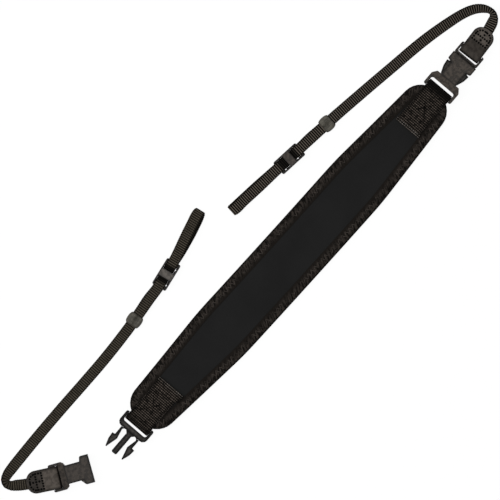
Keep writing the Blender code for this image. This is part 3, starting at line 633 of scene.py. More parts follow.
def banked_lefts(points: np.ndarray) -> np.ndarray:
    """Return the directions to the left of a line, tipped by its bank in degrees in the fourth column."""
    along = unit_rows(np.gradient(points[:, :3], axis=0))
    level = unit_rows(np.column_stack([-along[:, 1], along[:, 0], np.zeros(len(along))]))
    bank = np.radians(points[:, 3])[:, None]
    return level * np.cos(bank) - np.cross(along, level) * np.sin(bank)


class GrowingTrees:
    """Geometry Nodes trees for what repeats: ribs along webbing and stitches along a seam."""

    GEOMETRY = "NodeSocketGeometry"
    FLOAT = "NodeSocketFloat"
    MATERIAL = "NodeSocketMaterial"

    def __init__(self) -> None:
        """Build both trees."""
        self.ribs = self._ribs()
        self.stitches = self._stitches()

    def _close(self, sheet: NodeSheet, given: Any, result: Any, shape: NodeSocket) -> NodeTree:
        """End a tree in real geometry with its finish on it."""
        real = sheet.node("GeometryNodeRealizeInstances", {0: shape})
        soft = sheet.node("GeometryNodeSetShadeSmooth", {0: real.outputs[0]})
        dressed = {"Geometry": soft.outputs[0], "Material": given["Finish"]}
        done = sheet.node("GeometryNodeSetMaterial", dressed)
        sheet.tree.links.new(done.outputs[0], result.inputs[0])
        return sheet.tree

    def _ribs(self) -> NodeTree:
        """Press grooves at even steps across a piece that carries its length."""
        sheet, given, result = open_group(
            "grooved_webbing", "GeometryNodeTree",
            {"Geometry": (self.GEOMETRY, None), "Pitch": (self.FLOAT, 0.002), "Depth": (self.FLOAT, 0.0001),
             "Finish": (self.MATERIAL, None)},
            {"Geometry": self.GEOMETRY},
        )
        along = sheet.node("GeometryNodeInputNamedAttribute", {"Name": "along"}, data_type="FLOAT").outputs[0]
        turn = sheet.math("MULTIPLY", sheet.math("DIVIDE", along, given["Pitch"]), math.pi)
        crest = sheet.math("ABSOLUTE", sheet.math("SINE", turn))
        sink = sheet.math("MULTIPLY", sheet.math("SUBTRACT", crest, 1.0), given["Depth"])
        normal = sheet.node("GeometryNodeInputNormal").outputs[0]
        push = sheet.node("ShaderNodeVectorMath", {0: normal, "Scale": sink}, operation="SCALE").outputs[0]
        moved = sheet.node("GeometryNodeSetPosition", {"Geometry": given["Geometry"], "Offset": push})
        return self._close(sheet, given, result, moved.outputs[0])

    def _stitches(self) -> NodeTree:
        """Lay stitches along a line, turned alternately to make a zigzag."""
        sheet, given, result = open_group(
            "stitch_row", "GeometryNodeTree",
            {"Geometry": (self.GEOMETRY, None), "Pitch": (self.FLOAT, 0.003), "Length": (self.FLOAT, 0.0026),
             "Thickness": (self.FLOAT, 0.0004), "Turn": (self.FLOAT, 0.0), "Finish": (self.MATERIAL, None)},
            {"Geometry": self.GEOMETRY},
        )
        line = sheet.node("GeometryNodeMeshToCurve", {0: given["Geometry"]})
        spots = sheet.node(
            "GeometryNodeResampleCurve", {"Curve": line.outputs[0], "Length": given["Pitch"]}, mode="LENGTH"
        )
        heading = sheet.node("GeometryNodeInputTangent").outputs[0]
        ahead = sheet.node("FunctionNodeAlignRotationToVector", {"Vector": heading}, axis="X")
        laid = sheet.node(
            "FunctionNodeAlignRotationToVector", {"Rotation": ahead.outputs[0], "Vector": (0.0, 0.0, 1.0)},
            axis="Z", pivot_axis="X",
        )
        odd = sheet.math("MODULO", sheet.node("GeometryNodeInputIndex").outputs[0], 2.0)
        swing = sheet.math("MULTIPLY", sheet.math("MULTIPLY_ADD", odd, 2.0, -1.0), given["Turn"])
        angles = sheet.node("ShaderNodeCombineXYZ", {2: swing}).outputs[0]
        slant = sheet.node("FunctionNodeEulerToRotation", {0: angles}).outputs[0]
        turned = sheet.node(
            "FunctionNodeRotateRotation", {0: laid.outputs[0], 1: slant}, rotation_space="LOCAL"
        )
        size = sheet.node(
            "ShaderNodeCombineXYZ", {0: given["Length"], 1: given["Thickness"], 2: given["Thickness"]}
        )
        bead = sheet.node("GeometryNodeMeshIcoSphere", {"Radius": 0.5, "Subdivisions": 2})
        row = sheet.node(
            "GeometryNodeInstanceOnPoints",
            {"Points": spots.outputs[0], "Instance": bead.outputs[0], "Rotation": turned.outputs[0],
             "Scale": size.outputs[0]},
        )
        return self._close(sheet, given, result, row.outputs[0])


TREES = GrowingTrees()


def grow(piece: Piece, tree: NodeTree, values: dict[str, Any]) -> Piece:
    """Run a tree on a piece and keep the result as its plain mesh.

    Args:
        piece: the piece that the tree starts from.
        tree: the Geometry Nodes tree.
        values: value for each named input.

    Returns:
        The piece.
    """
    modifier = piece.modifiers.new(tree.name, "NODES")
    modifier.node_group = tree
    for item in tree.interface.items_tree:
        if item.name in values and item.in_out == "INPUT":
            modifier[item.identifier] = values[item.name]
    return settled(piece)


def settled(piece: Piece) -> Piece:
    """Turn a piece's modifiers into its plain mesh."""
    graph = bpy.context.evaluated_depsgraph_get()
    graph.update()
    mesh = bpy.data.meshes.new_from_object(piece.evaluated_get(graph), depsgraph=graph)
    piece.modifiers.clear()
    old = piece.data
    piece.data = mesh
    mesh.name = piece.name
    bpy.data.meshes.remove(old)
    return piece


def stitch_row(
    name: str, lines: Sequence[Sequence[Point]], finish: Finish, *,
    pitch: float, length: float, thickness: float, turn: float = 0.0,
) -> Piece:
    """Sew along one or more lines.

    Args:
        name: name of the piece.
        lines: lines that the thread follows.
        finish: of the thread.
        pitch: from stitch to stitch.
        length: of one stitch.
        thickness: of the thread.
        turn: slant of every other stitch in degrees, for a zigzag.

    Returns:
        The piece, all its stitches in one mesh.
    """
    places: list[Point] = []
    edges: list[tuple[int, int]] = []
    for line in lines:
        start = len(places)
        places.extend(tuple(place) for place in line)
        edges.extend((start + step, start + step + 1) for step in range(len(line) - 1))
    mesh = bpy.data.meshes.new(name)
    mesh.from_pydata(places, edges, [])
    return grow(
        show(name, mesh), TREES.stitches,
        {"Pitch": pitch, "Length": length, "Thickness": thickness, "Turn": math.radians(turn),
         "Finish": finish.material()},
    )


def dress(piece: Piece, finish: Finish) -> Piece:
    """Give a piece its finish and report it."""
    piece.data.materials.clear()
    piece.data.materials.append(finish.material())
    LOG.info("%s: %d faces in %s", piece.name, len(piece.data.polygons), finish.name)
    return piece


@dataclass
class NeckPad:
    """Foam pad in stretch cloth with a wide tape folded round its edge.

    Attributes:
        parallel: length of the middle stretch where the sides run parallel.
        ease: share of each tapering end over which the taper sets in.
        bow: how far the ends lie to one side of the middle.
        slant: how far the ends lie to opposite sides.
        lift: rise of the ends, which lie on the webbing under them, over the length of the ramp.
        body_rings: inset, low height and high height of each ring of the body, in millimetres.
        tape_section: inset, height and shade of each corner of the tape's outside, in millimetres; a shade
            past 1, round the outer fold, is painted shade.
    """

    length: float = 399 * MM
    width: float = 57 * MM
    end_width: float = 42.4 * MM
    parallel: float = 160 * MM
    corner: float = 18 * MM
    ease: float = 0.2
    bow: float = 1.8 * MM
    slant: float = 0.6 * MM
    lift: float = 1.7 * MM
    ramp: float = 45 * MM
    patch: float = 42.5 * MM
    tape_reach: float = 9.5 * MM
    tape_thickness: float = 0.6 * MM
    tape_inside: float = 0.9
    stations: int = 92
    corner_steps: int = 7
    soft_angle: float = 80.0
    swell_cap: float = 1.0 * MM
    swell_frames: int = 20
    zigzag_at: float = 5.6 * MM
    zigzag_heights: Spot = (5.60 * MM, 0.26 * MM)
    body_rings: tuple[Point, ...] = (
        (1.0, 2.7, 2.9), (1.5, 1.7, 3.9), (2.6, 1.1, 4.6), (4.5, 0.9, 4.95), (6.5, 0.9, 5.05),
        (8.2, 0.9, 4.95), (9.7, 0.6, 4.95), (11.5, 0.15, 5.10), (14.5, 0.10, 5.20), (19.0, 0.10, 5.25),
    )
    tape_section: tuple[Point, ...] = (
        (10.2, 5.45, 1.05), (9.4, 5.60, 0.95), (8.2, 5.64, 0.75), (6.8, 5.66, 0.40), (5.2, 5.70, 0.15),
        (3.6, 5.62, 0.10), (2.4, 5.36, 0.00), (1.7, 5.02, 0.00), (1.0, 4.55, 1.60), (0.35, 3.75, 1.90),
        (0.0, 2.80, 1.90), (0.35, 1.85, 1.60), (1.1, 1.0, 0.30), (2.2, 0.45, 0.10), (3.6, 0.30, 0.10),
        (6.5, 0.30, 0.10), (9.5, 0.32, 0.50),
    )

    def half_width(self, x: float, inset: float) -> float:
        """Return half the width at a place along the pad, drawn in by an inset all round."""
        half = self.length / 2
        start = self.parallel / 2
        share = max(0.0, (abs(x) - start) / (half - start))
        eased = share**2 / (2 * self.ease) if share < self.ease else share - self.ease / 2
        drop = (self.width - self.end_width) / 2 * eased / (1 - self.ease / 2)
        corner = max(self.corner - inset, GAP)
        past = max(0.0, abs(x) - (half - inset - corner))
        return self.width / 2 - inset - drop - corner + math.sqrt(max(corner**2 - past**2, 0.0))

    def middle(self, x: float) -> float:
        """Return where the middle line lies in its shallow, leaning bow."""
        share = 2 * x / self.length
        return self.bow * share**2 + self.slant * share

    def rise(self, x: float) -> float:
        """Return how far the webbing under its ends lifts the pad."""
        end = self.length / 2 - self.patch - 2 * GAP
        share = min(1.0, max(0.0, (abs(x) - (end - self.ramp)) / self.ramp))
        return self.lift * share**2 * (3 - 2 * share)

    def places_along(self, inset: float) -> list[float]:
        """Return the stations along the pad, closer together round its corners."""
        corner = max(self.corner - inset, GAP)
        straight = self.length / 2 - inset - corner
        middle = [straight * (2 * step / self.stations - 1) for step in range(self.stations + 1)]
        turns = [straight + corner * math.sin(angle) for angle in quarter_angles(self.corner_steps)[1:]]
        return [-x for x in reversed(turns)] + middle + turns

    def outline(self, inset: float, height: float) -> list[Point]:
        """Return the pad's outline at an inset and a height above its underside, anticlockwise."""
        stations = self.places_along(inset)
        near = [(x, self.middle(x) - self.half_width(x, inset)) for x in stations]
        far = [(x, self.middle(x) + self.half_width(x, inset)) for x in reversed(stations)]
        return [(x, y, self.rise(x) + height) for x, y in near + far]

    def build_body(self) -> Piece:
        """Make the pad's closed cloth body, swell its face by simulation and soften it."""
        shell = bmesh.new()
        count = len(self.places_along(0.0))
        loops = []
        rings = [(inset, top) for inset, _, top in reversed(self.body_rings)]
        rings += [(inset, low) for inset, low, _ in self.body_rings]
        for inset, height in rings:
            loops.append([shell.verts.new(place) for place in self.outline(inset * MM, height * MM)])
        for ring, following in zip(loops, loops[1:]):
            for index in range(2 * count):
                after = (index + 1) % (2 * count)
                shell.faces.new((ring[index], ring[after], following[after], following[index]))
        free_top = self._ladder(shell, loops[0], count)
        self._ladder(shell, loops[-1], count)
        bmesh.ops.recalc_face_normals(shell, faces=shell.faces)
        shell.verts.index_update()
        free_rings = sum(1 for inset, _, _ in self.body_rings if inset * MM > self.tape_reach)
        free = [vert for ring in loops[:free_rings] for vert in ring] + free_top
        loose = {vert.index for vert in free}
        piece = show("pad_body", smooth_shaded(plain_mesh("pad_body", shell), self.soft_angle))
        self._swell(piece, loose)
        softer = piece.modifiers.new("softer", "SUBSURF")
        softer.levels = softer.render_levels = 1
        return settled(piece)

    @staticmethod
    def _ladder(shell: bmesh.types.BMesh, ring: list, count: int, columns: int = 4) -> list:
        """Close the middle of a ring with rungs between its two long sides and return the new points."""
        rows = []
        for index in range(count):
            near, far = ring[index], ring[2 * count - 1 - index]
            inner = []
            if 0 < index < count - 1:
                shares = [step / (columns + 1) for step in range(1, columns + 1)]
                inner = [shell.verts.new(near.co.lerp(far.co, share)) for share in shares]
            rows.append([near, *inner, far])
        for row, following in zip(rows, rows[1:]):
            if len(row) != len(following):
                shell.faces.new(row + following[::-1])
                continue
            for step in range(len(row) - 1):
                shell.faces.new((row[step], row[step + 1], following[step + 1], following[step]))
        return [vert for row in rows for vert in row[1:-1]]

    def _swell(self, piece: Piece, loose: set[int]) -> None:
        """Blow the loose face up between its seams with a cloth simulation, no further than its cap.

        Args:
            piece: the pad's body.
            loose: points that may move; the rest are sewn or lie on the table.
        """
        start = np.array([vert.co for vert in piece.data.vertices])
        held = piece.vertex_groups.new(name="sewn")
        held.add([index for index in range(len(start)) if index not in loose], 1.0, "REPLACE")
        cloth = piece.modifiers.new("swell", "CLOTH")
        cloth.settings.quality = 6
        cloth.settings.mass = 0.15
        cloth.settings.tension_stiffness = cloth.settings.compression_stiffness = 12.0
        cloth.settings.use_pressure = True
        cloth.settings.uniform_pressure_force = 4.0
        cloth.settings.vertex_group_mass = "sewn"
        cloth.settings.effector_weights.gravity = 0.0
        cloth.point_cache.frame_start, cloth.point_cache.frame_end = 1, self.swell_frames
        scene = bpy.context.scene
        for step in range(1, self.swell_frames + 1):
            scene.frame_set(step)
        graph = bpy.context.evaluated_depsgraph_get()
        swollen = np.array([vert.co for vert in piece.evaluated_get(graph).data.vertices])
        piece.modifiers.clear()
        piece.vertex_groups.clear()
        scene.frame_set(1)
        move = swollen - start
        reach = np.linalg.norm(move, axis=1)
        capped = self.swell_cap * np.tanh(reach / self.swell_cap)
        kept = start + move * (capped / np.maximum(reach, NO_LENGTH))[:, None]
        piece.data.vertices.foreach_set("co", kept.astype(np.float32).ravel())
        piece.data.update()
        LOG.info("pad face swells %.2f mm at most", 1000 * float(capped.max()))

    def build_tape(self) -> Piece:
        """Fold the tape round the edge: an open C in section, rounded at the fold."""
        outside = np.array(self.tape_section)[:, :2] * MM
        tones = np.array(self.tape_section)[:, 2]
        slope = unit_rows(np.gradient(outside, axis=0))
        inward = np.column_stack([-slope[:, 1], slope[:, 0]])
        inside = outside + inward * self.tape_thickness
        section = np.vstack([outside, inside[::-1]])
        edge = np.array(self.outline(0.0, 0.0))
        heading = np.roll(edge, -1, axis=0) - np.roll(edge, 1, axis=0)
        normal = unit_rows(np.column_stack([-heading[:, 1], heading[:, 0]]))
        rings = np.empty((len(edge), len(section), 3))
        rings[:, :, :2] = edge[:, None, :2] + normal[:, None] * section[None, :, :1]
        heights = np.vectorize(self.rise)(rings[:, :, 0])
        rings[:, :, 2] = heights + section[None, :, 1]
        shade = np.tile(np.concatenate([tones, np.full(len(tones), self.tape_inside)]), (len(edge), 1))
        return loft("pad_tape", rings, endless=True, shade=shade)

    def build(self) -> None:
        """Make the pad, its tape and the zigzag that sews the tape down."""
        body = dress(self.build_body(), PAD_CLOTH)
        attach(body, "pad")
        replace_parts(body, "pad_foam", "pad_face_panel", "pad_back_panel")
        tape = dress(self.build_tape(), EDGE_TAPE)
        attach(tape, "pad")
        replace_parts(tape, "pad_binding")
        lines = []
        for height in self.zigzag_heights:
            line = self.outline(self.zigzag_at, height)
            lines.append(line + line[:1])
        seam = stitch_row(
            "pad_zigzag", lines, TAPE_THREAD, pitch=2.3 * MM, length=5.4 * MM, thickness=0.6 * MM, turn=62.0
        )
        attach(seam, "pad")


@dataclass
class EndWebbing:
    """Wide webbing sewn over and under one end of the pad and looped round a buckle's bar.

    Attributes:
        hem: length, width and shift to one side of the folded end.
        bar_shadow: depth of the painted shade near the bar, and where along the webbing it starts and is
            full.
        over: height of the upper layer on the pad.
        hem_lift: rise of the hem above the webbing, and how far below that it starts.
        box: how far in the box stitch starts, ends and lies from the selvedge.
        sides: how far in the side rows start, end and lie outside the box.
    """

    side: Side
    place: Place
    bar_height: float
    hem: Point
    bar_shadow: Point
    turn_radius: float
    width: float = 25.8 * MM
    thickness: float = 1.4 * MM
    reach: float = 2.1 * MM
    patch: float = 42.5 * MM
    over: float = 8.5 * MM
    pitch: float = 1.9 * MM
    groove: float = 0.22 * MM
    flat_end: float = 2.5 * MM
    hem_thickness: float = 0.9 * MM
    hem_pitch: float = 1.3 * MM
    hem_past: float = 0.4 * MM
    hem_ramp: float = 0.6 * MM
    hem_lift: Spot = (0.35 * MM, 0.3 * MM)
    box: Point = (9.5 * MM, 3.0 * MM, 1.6 * MM)
    hem_rows: Spot = (0.3 * MM, 2.1 * MM)
    hem_inset: float = 1.0 * MM
    hem_thread: float = 0.75 * MM
    sides: Point = (4.0 * MM, 6.0 * MM, 0.5 * MM)

    def path(self) -> list[Point]:
        """Return the webbing's line in its buckle's frame, from its upper end round the bar to its lower."""
        far, edge = -(self.reach + self.patch), -(self.reach - GAP)
        under = self.thickness / 2
        turn = bar_turn(self.turn_radius, self.turn_radius, self.bar_height, -1.0)
        middle = (far + edge) / 2
        near = edge - self.flat_end
        above = [(x, 0.0, self.over) for x in (far, middle, near, edge)]
        below = [(x, 0.0, under) for x in (edge, near, middle, far)]
        return above + turn + below

    def strip(
        self, name: str, path: Sequence[Point], width: float, thickness: float, pitch: float
    ) -> Piece:
        """Make one ribbed strip along a line in the buckle's frame."""
        frame_of = self.place.matrix()
        points = smooth_route(carried(path, frame_of), pitch / RIB_STATIONS)
        local = np.array([frame_of.inverted() @ Vector(point) for point in points])
        # Painted shade on the webbing near the bar, where it turns into the buckle.
        depth, start, end = self.bar_shadow
        shade = depth * np.clip((local[:, 0] - start) / (end - start), 0.0, 1.0)
        piece = ribbon(name, points, level_lefts(frame_of, len(points)), width, thickness, shade)
        grow(piece, TREES.ribs, {"Pitch": pitch, "Depth": self.groove, "Finish": WIDE_WEB.material()})
        dress(piece, WIDE_WEB)
        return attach(piece, "pad")

    def build(self) -> None:
        """Make the loop, the hem at its inner end and the box stitch that holds it."""
        name = self.side.value
        loop = self.strip(name + "_webbing_loop", self.path(), self.width, self.thickness, self.pitch)
        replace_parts(loop, name + "_webbing")
        length, width, aside = self.hem
        lift, drop = self.hem_lift
        far = -(self.reach + self.patch) - self.hem_past
        height = self.over + self.thickness / 2 + lift
        hem = [(far + along, aside, height) for along in (self.hem_ramp, length)]
        hem.insert(0, (far, aside, height - drop))
        self.strip(name + "_webbing_hem", hem, width, self.hem_thickness, self.hem_pitch)
        self.sew(name, height - drop)

    def sew(self, name: str, height: float) -> None:
        """Sew a box with crossed diagonals through the webbing, rows across its hem and along its sides."""
        far = -(self.reach + self.patch)
        start, end = far + self.box[0], -(self.reach + self.box[1])
        half = self.width / 2 - self.box[2]
        corners = [(start, -half), (end, -half), (end, half), (start, half)]
        box = [[corners[index], corners[(index + 1) % 4]] for index in range(4)]
        box += [[corners[0], corners[2]], [corners[1], corners[3]]]
        _, width, aside = self.hem
        reach = width / 2 - self.hem_inset
        rows = [[(far + step, aside - reach), (far + step, aside + reach)] for step in self.hem_rows]
        inset, short, outside = self.sides
        edges = (-half - outside, half + outside)
        sides = [[(far + inset, side), (end - short, side)] for side in edges]
        seams = (
            ("box", box, 0.0, THREAD),
            ("hem", rows, self.hem_thread, GREY_THREAD),
            ("side", sides, 0.0, TAPE_THREAD),
        )
        for word, lines, lift, finish in seams:
            raised = [[(x, y, height + lift) for x, y in line] for line in lines]
            placed = [carried(line, self.place.matrix()) for line in raised]
            seam = stitch_row(
                f"{name}_{word}_stitch", placed, finish, pitch=2.1 * MM, length=1.6 * MM, thickness=0.75 * MM
            )
            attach(seam, "pad")


@dataclass
class ConnectorStrap:
    """Thin webbing from a leather tab, through a keeper and a slider, into a loop.

    Attributes:
        run: knots from the tab's end, in its frame, each with its bank in degrees.
        lead, loop, tail: knots before the slider, past it and back under the run, in the slider's frame.
        slot_shadow: how far before the slider's middle the webbing is darkened by painted shadow in the
            slots, its shade and its fade.
        loop_shadow: painted shadow on the loop's lower half, under its upper half, and its start and its fade
            as shares of the loop.
        run_span, loop_span: stretches beside the slider; their two end points are worked out and not used
            further.
    """

    side: Side
    tab: Matrix
    run: list[Knot]
    lead: list[Knot]
    loop: list[Knot]
    tail: list[Knot]
    slider: Place
    keeper: Place
    tip_taper: float
    finish: Webbing
    # How far past the slider's middle, towards the loop, the painted slot shadow reaches.
    shadow_reach: float
    width: float = 10.2 * MM
    thickness: float = 1.2 * MM
    pitch: float = 2.05 * MM
    groove: float = 0.20 * MM
    tab_length: float = 25.5 * MM
    inside_tab: float = 11.5 * MM
    tab_end_height: float = 2.8 * MM
    slider_half: float = 13.5 * MM
    slider_bar: float = 4.0 * MM
    slider_centre: float = 3.65 * MM
    over: float = 4.3 * MM
    under: float = 2.4 * MM
    layer: float = 1.6 * MM
    tip_length: float = 3.0 * MM
    slot_shadow: Point = (10.0 * MM, 0.92, 2.5 * MM)
    tail_shadow: float = 0.6
    loop_shadow: Point = (0.8, 0.49, 0.03)
    run_span: Spot = (-0.053, -0.015)
    loop_span: Spot = (0.014, 0.064)
    path_points: int = 60

    @property
    def connector(self) -> str:
        """Body that the strap hangs on."""
        return self.side.value + "_connector"

    @property
    def slider_body(self) -> str:
        """Body of the slider."""
        return self.side.value + "_slider_body"

    def at_slider(self) -> Matrix:
        """Return the slider's frame."""
        return self.tab @ self.slider.matrix()

    def through(self, drop: float) -> list[Knot]:
        """Return one layer over the first end bar and on to the middle of the slider, in its frame."""
        high = [(-x, 0.0, self.over - drop) for x in (self.slider_half, self.slider_half - self.slider_bar)]
        return high + [(x, 0.0, self.under - drop) for x in (-self.slider_centre, 0.0)]

    def mirrored(self, drop: float) -> list[Knot]:
        """Return one layer from the slider's far end to its middle, in its frame."""
        return [(-x, y, z) for x, y, z in self.through(drop)]

    def strip(
        self, name: str, points: np.ndarray, lefts: np.ndarray, shade: np.ndarray, width: float | np.ndarray
    ) -> Piece:
        """Make one ribbed length of the webbing, with painted shadow in the slider's slots."""
        back = self.at_slider().inverted()
        from_slider = np.array([(back @ Vector(point[:3]))[0] for point in points])
        before, depth, fade = self.slot_shadow
        reach = np.where(from_slider > 0.0, self.shadow_reach, before)
        painted_slot_shadow = depth * np.clip((reach - np.abs(from_slider)) / fade, 0.0, 1.0)
        tones = np.maximum(painted_slot_shadow, shade)
        piece = ribbon(f"{self.side.value}_{name}", points, lefts, width, self.thickness, tones)
        ribs = {"Pitch": self.pitch, "Depth": self.groove, "Finish": self.finish.material()}
        return dress(grow(piece, TREES.ribs, ribs), self.finish)

    def blend_points(self, near: float, far: float) -> tuple[Point, Point]:
        """Return two places along the webbing at the slider, in the strap's frame."""
        return tuple(tuple(self.at_slider() @ Vector((along, 0.0, self.under))) for along in (near, far))

    def build(self) -> None:
        name = self.side.value
        step = self.pitch / RIB_STATIONS
        frame_of = self.at_slider()
        sewn = (self.tab_length - self.inside_tab, self.tab_length)
        inside = [(x, 0.0, self.tab_end_height, 0.0) for x in sewn]
        flat = [(*point, 0.0) for point in self.lead + self.through(0.0)]
        route = carried(inside + self.run, self.tab) + carried(flat, frame_of)
        points = smooth_route(route, step)
        run = self.strip("strap_length", points, banked_lefts(points), np.zeros(len(points)), self.width)
        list(self.blend_points(*self.run_span))
        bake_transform(run)
        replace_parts(run, name + "_strap_run")
        tail = self.through(self.layer)[::-1] + self.tail
        points_of_tail = smooth_route(carried(tail, frame_of), step)
        count = len(points_of_tail)
        # The tail lies under the run, so its shade is painted shadow.
        under = np.full(count, self.tail_shadow)
        end = self.strip("strap_tail", points_of_tail, level_lefts(frame_of, count), under, self.width)
        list(self.blend_points(*self.run_span[::-1]))
        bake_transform(end)
        out = self.mirrored(0.0)[::-1]
        points_of_loop = smooth_route(carried(out + self.loop + self.mirrored(self.layer), frame_of), step)
        reach = distances(points_of_loop)
        spread = reach / reach[-1]
        # The loop's lower half lies under its upper half: painted shadow.
        depth, start, fade = self.loop_shadow
        under = depth * np.clip((spread - start) / fade, 0.0, 1.0)
        tip = 1.0 - np.clip(np.abs(spread - 0.5) * reach[-1] / self.tip_length, 0.0, 1.0)
        width = self.width * (1.0 - self.tip_taper * tip**2)
        loop = self.strip("strap_eye", points_of_loop, level_lefts(frame_of, len(reach)), under, width)
        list(self.blend_points(*self.loop_span))
        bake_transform(loop)
        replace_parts(loop, name + "_strap_loop")
        LOG.info(
            "%s webbing: run %.1f mm, tail %.1f mm, loop %.1f mm", name,
            *(1000 * float(distances(line)[-1]) for line in (points, points_of_tail, points_of_loop)),
        )


@dataclass(frozen=True)
class Plate:
    """A small flat detail of a moulding: an outline between two heights, in the moulding's frame."""

    outline: tuple[Spot, ...]
    low: float
    high: float
    soft: float = 0.12 * MM

    def mesh(self, frame_of: Matrix) -> Mesh:
        """Raise the outline, break its edges and carry it to the strap's frame."""
        shell = bmesh.new()
        heights = (self.low, self.high)
        levels = [[shell.verts.new((x, y, height)) for x, y in self.outline] for height in heights]
        for level in levels:
            shell.faces.new(level)
        for index in range(len(self.outline)):
            corners = (levels[0][index - 1], levels[0][index], levels[1][index], levels[1][index - 1])
            shell.faces.new(corners)
        edges = shell.edges[:]
        bmesh.ops.bevel(
            shell, geom=edges, offset=self.soft, segments=2, affect="EDGES", clamp_overlap=True
        )
        bmesh.ops.recalc_face_normals(shell, faces=shell.faces)
        bmesh.ops.transform(shell, matrix=frame_of, verts=shell.verts)
        return plain_mesh("plate", shell)


def span(first: float, second: float) -> Spot:
    """Return two values in rising order."""
    return min(first, second), max(first, second)


def around(middle: float, half: float) -> Spot:
    """Return the two values that lie half a width on either side of a middle."""
    return middle - half, middle + half


def bar_plate(x: Spot, y: Spot, z: Spot) -> Plate:
    """Return a straight bar between two values on each axis."""
    return Plate(((x[0], y[0]), (x[1], y[0]), (x[1], y[1]), (x[0], y[1])), *z)


FILLET_STEPS = 6
FILLET_SOFT = 0.05 * MM


def fillet_plate(corner: Spot, toward: Spot, z: Spot) -> Plate:
    """Return a web that rounds an inside corner.

    Args:
        corner: where the two walls meet.
        toward: reach along X and along Y, with their signs, into the open side.
        z: its two heights.

    Returns:
        The web, its free side a hollow quarter round.
    """
    hollow = [
        (corner[0] + toward[0] * (1 - math.sin(angle)), corner[1] + toward[1] * (1 - math.cos(angle)))
        for angle in quarter_angles(FILLET_STEPS)
    ]
    return Plate((corner, *hollow), *z, soft=FILLET_SOFT)


@dataclass
class Moulding:
    """A rigid piece with its edges broken as a mould leaves them, and small details added.

    Attributes:
        rim: distances from a rim at which its painted shade is full and is gone.
        dull: shade away from any rim.
        grid: spacing of the cuts that carry the shade.
    """

    node: str
    body: str
    finish: Finish
    slot: Slot = Slot.BUCKLE
    frame_of: Matrix = field(default_factory=Matrix)
    plates: list[Plate] = field(default_factory=list)
    bevel: float = 0.3 * MM
    rim: Spot = (0.1 * MM, 1.1 * MM)
    rim_shade: float = 0.9
    dull: float = 0.0
    grid: float = 0.9 * MM
    rim_step: float = 0.25 * MM
    level_normal: float = 0.97
    flat_normal: float = 0.9
    crisp_angle: float = 40.0

    def shade(self, place: Vector) -> float:
        """Return how far a place away from any rim is darkened."""
        return self.dull

    def rims(self, shell: bmesh.types.BMesh) -> list[Vector]:
        """Return close points along every edge where a level face ends."""
        spots = []
        for edge in shell.edges:
            if len({abs(face.normal.z) > self.level_normal for face in edge.link_faces}) == 2:
                start, end = (vert.co.copy() for vert in edge.verts)
                steps = math.ceil((end - start).length / self.rim_step) + 1
                spots += [start.lerp(end, step / steps) for step in range(steps + 1)]
        return spots

    def paint_rim_shade(self, shell: bmesh.types.BMesh, spots: list[Vector]) -> None:
        """Cut the piece into a grid and paint shade on it towards its rims.

        Args:
            shell: the piece.
            spots: points along its rims.
        """
        near = KDTree(len(spots))
        for index, spot in enumerate(spots):
            near.insert(spot, index)
        near.balance()
        for axis in range(2):
            reach = [vert.co[axis] for vert in shell.verts]
            aim = Vector((1 - axis, axis, 0))
            for value in np.arange(min(reach) + self.grid / 2, max(reach), self.grid):
                whole = [*shell.verts, *shell.edges, *shell.faces]
                bmesh.ops.bisect_plane(shell, geom=whole, dist=CUT_WITHIN, plane_co=aim * value, plane_no=aim)
        tone = shell.verts.layers.float.new("shade")
        full, none = self.rim
        for vert in shell.verts:
            share = (none - near.find(vert.co)[2]) / (none - full)
            vert[tone] = max(self.rim_shade * min(1.0, share), self.shade(vert.co))

    def solid(self) -> Piece:
        """Copy the solid and round its sharp edges."""
        shell = bmesh.new()
        shell.from_mesh(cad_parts[self.node].data)
        bmesh.ops.remove_doubles(shell, verts=shell.verts, dist=MERGE_WITHIN)
        bmesh.ops.dissolve_limit(
            shell, angle_limit=math.radians(FLAT_WITHIN), verts=shell.verts, edges=shell.edges,
            use_dissolve_boundaries=False,
        )
        name = self.node + "_moulding"
        piece = show(name, plain_mesh(name, shell))
        edges = piece.modifiers.new("edges", "BEVEL")
        edges.width = self.bevel
        edges.segments = 2
        edges.limit_method = "ANGLE"
        edges.angle_limit = math.radians(self.crisp_angle)
        edges.use_clamp_overlap = True
        return settled(piece)

    def build(self) -> Piece:
        """Join the details to the solid, paint shade along its edges and dress it."""
        piece = self.solid()
        shell = bmesh.new()
        shell.from_mesh(piece.data)
        spots = self.rims(shell)
        for plate in self.plates:
            detail = plate.mesh(self.frame_of)
            shell.from_mesh(detail)
            bpy.data.meshes.remove(detail)
        self.paint_rim_shade(shell, spots)
        shell.to_mesh(piece.data)
        shell.free()
        smooth_shaded(piece.data)
        for face in piece.data.polygons:
            face.use_smooth = abs(face.normal.z) < self.flat_normal
        dress(piece, self.finish)
        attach(piece, self.body)
        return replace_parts(piece, self.node)


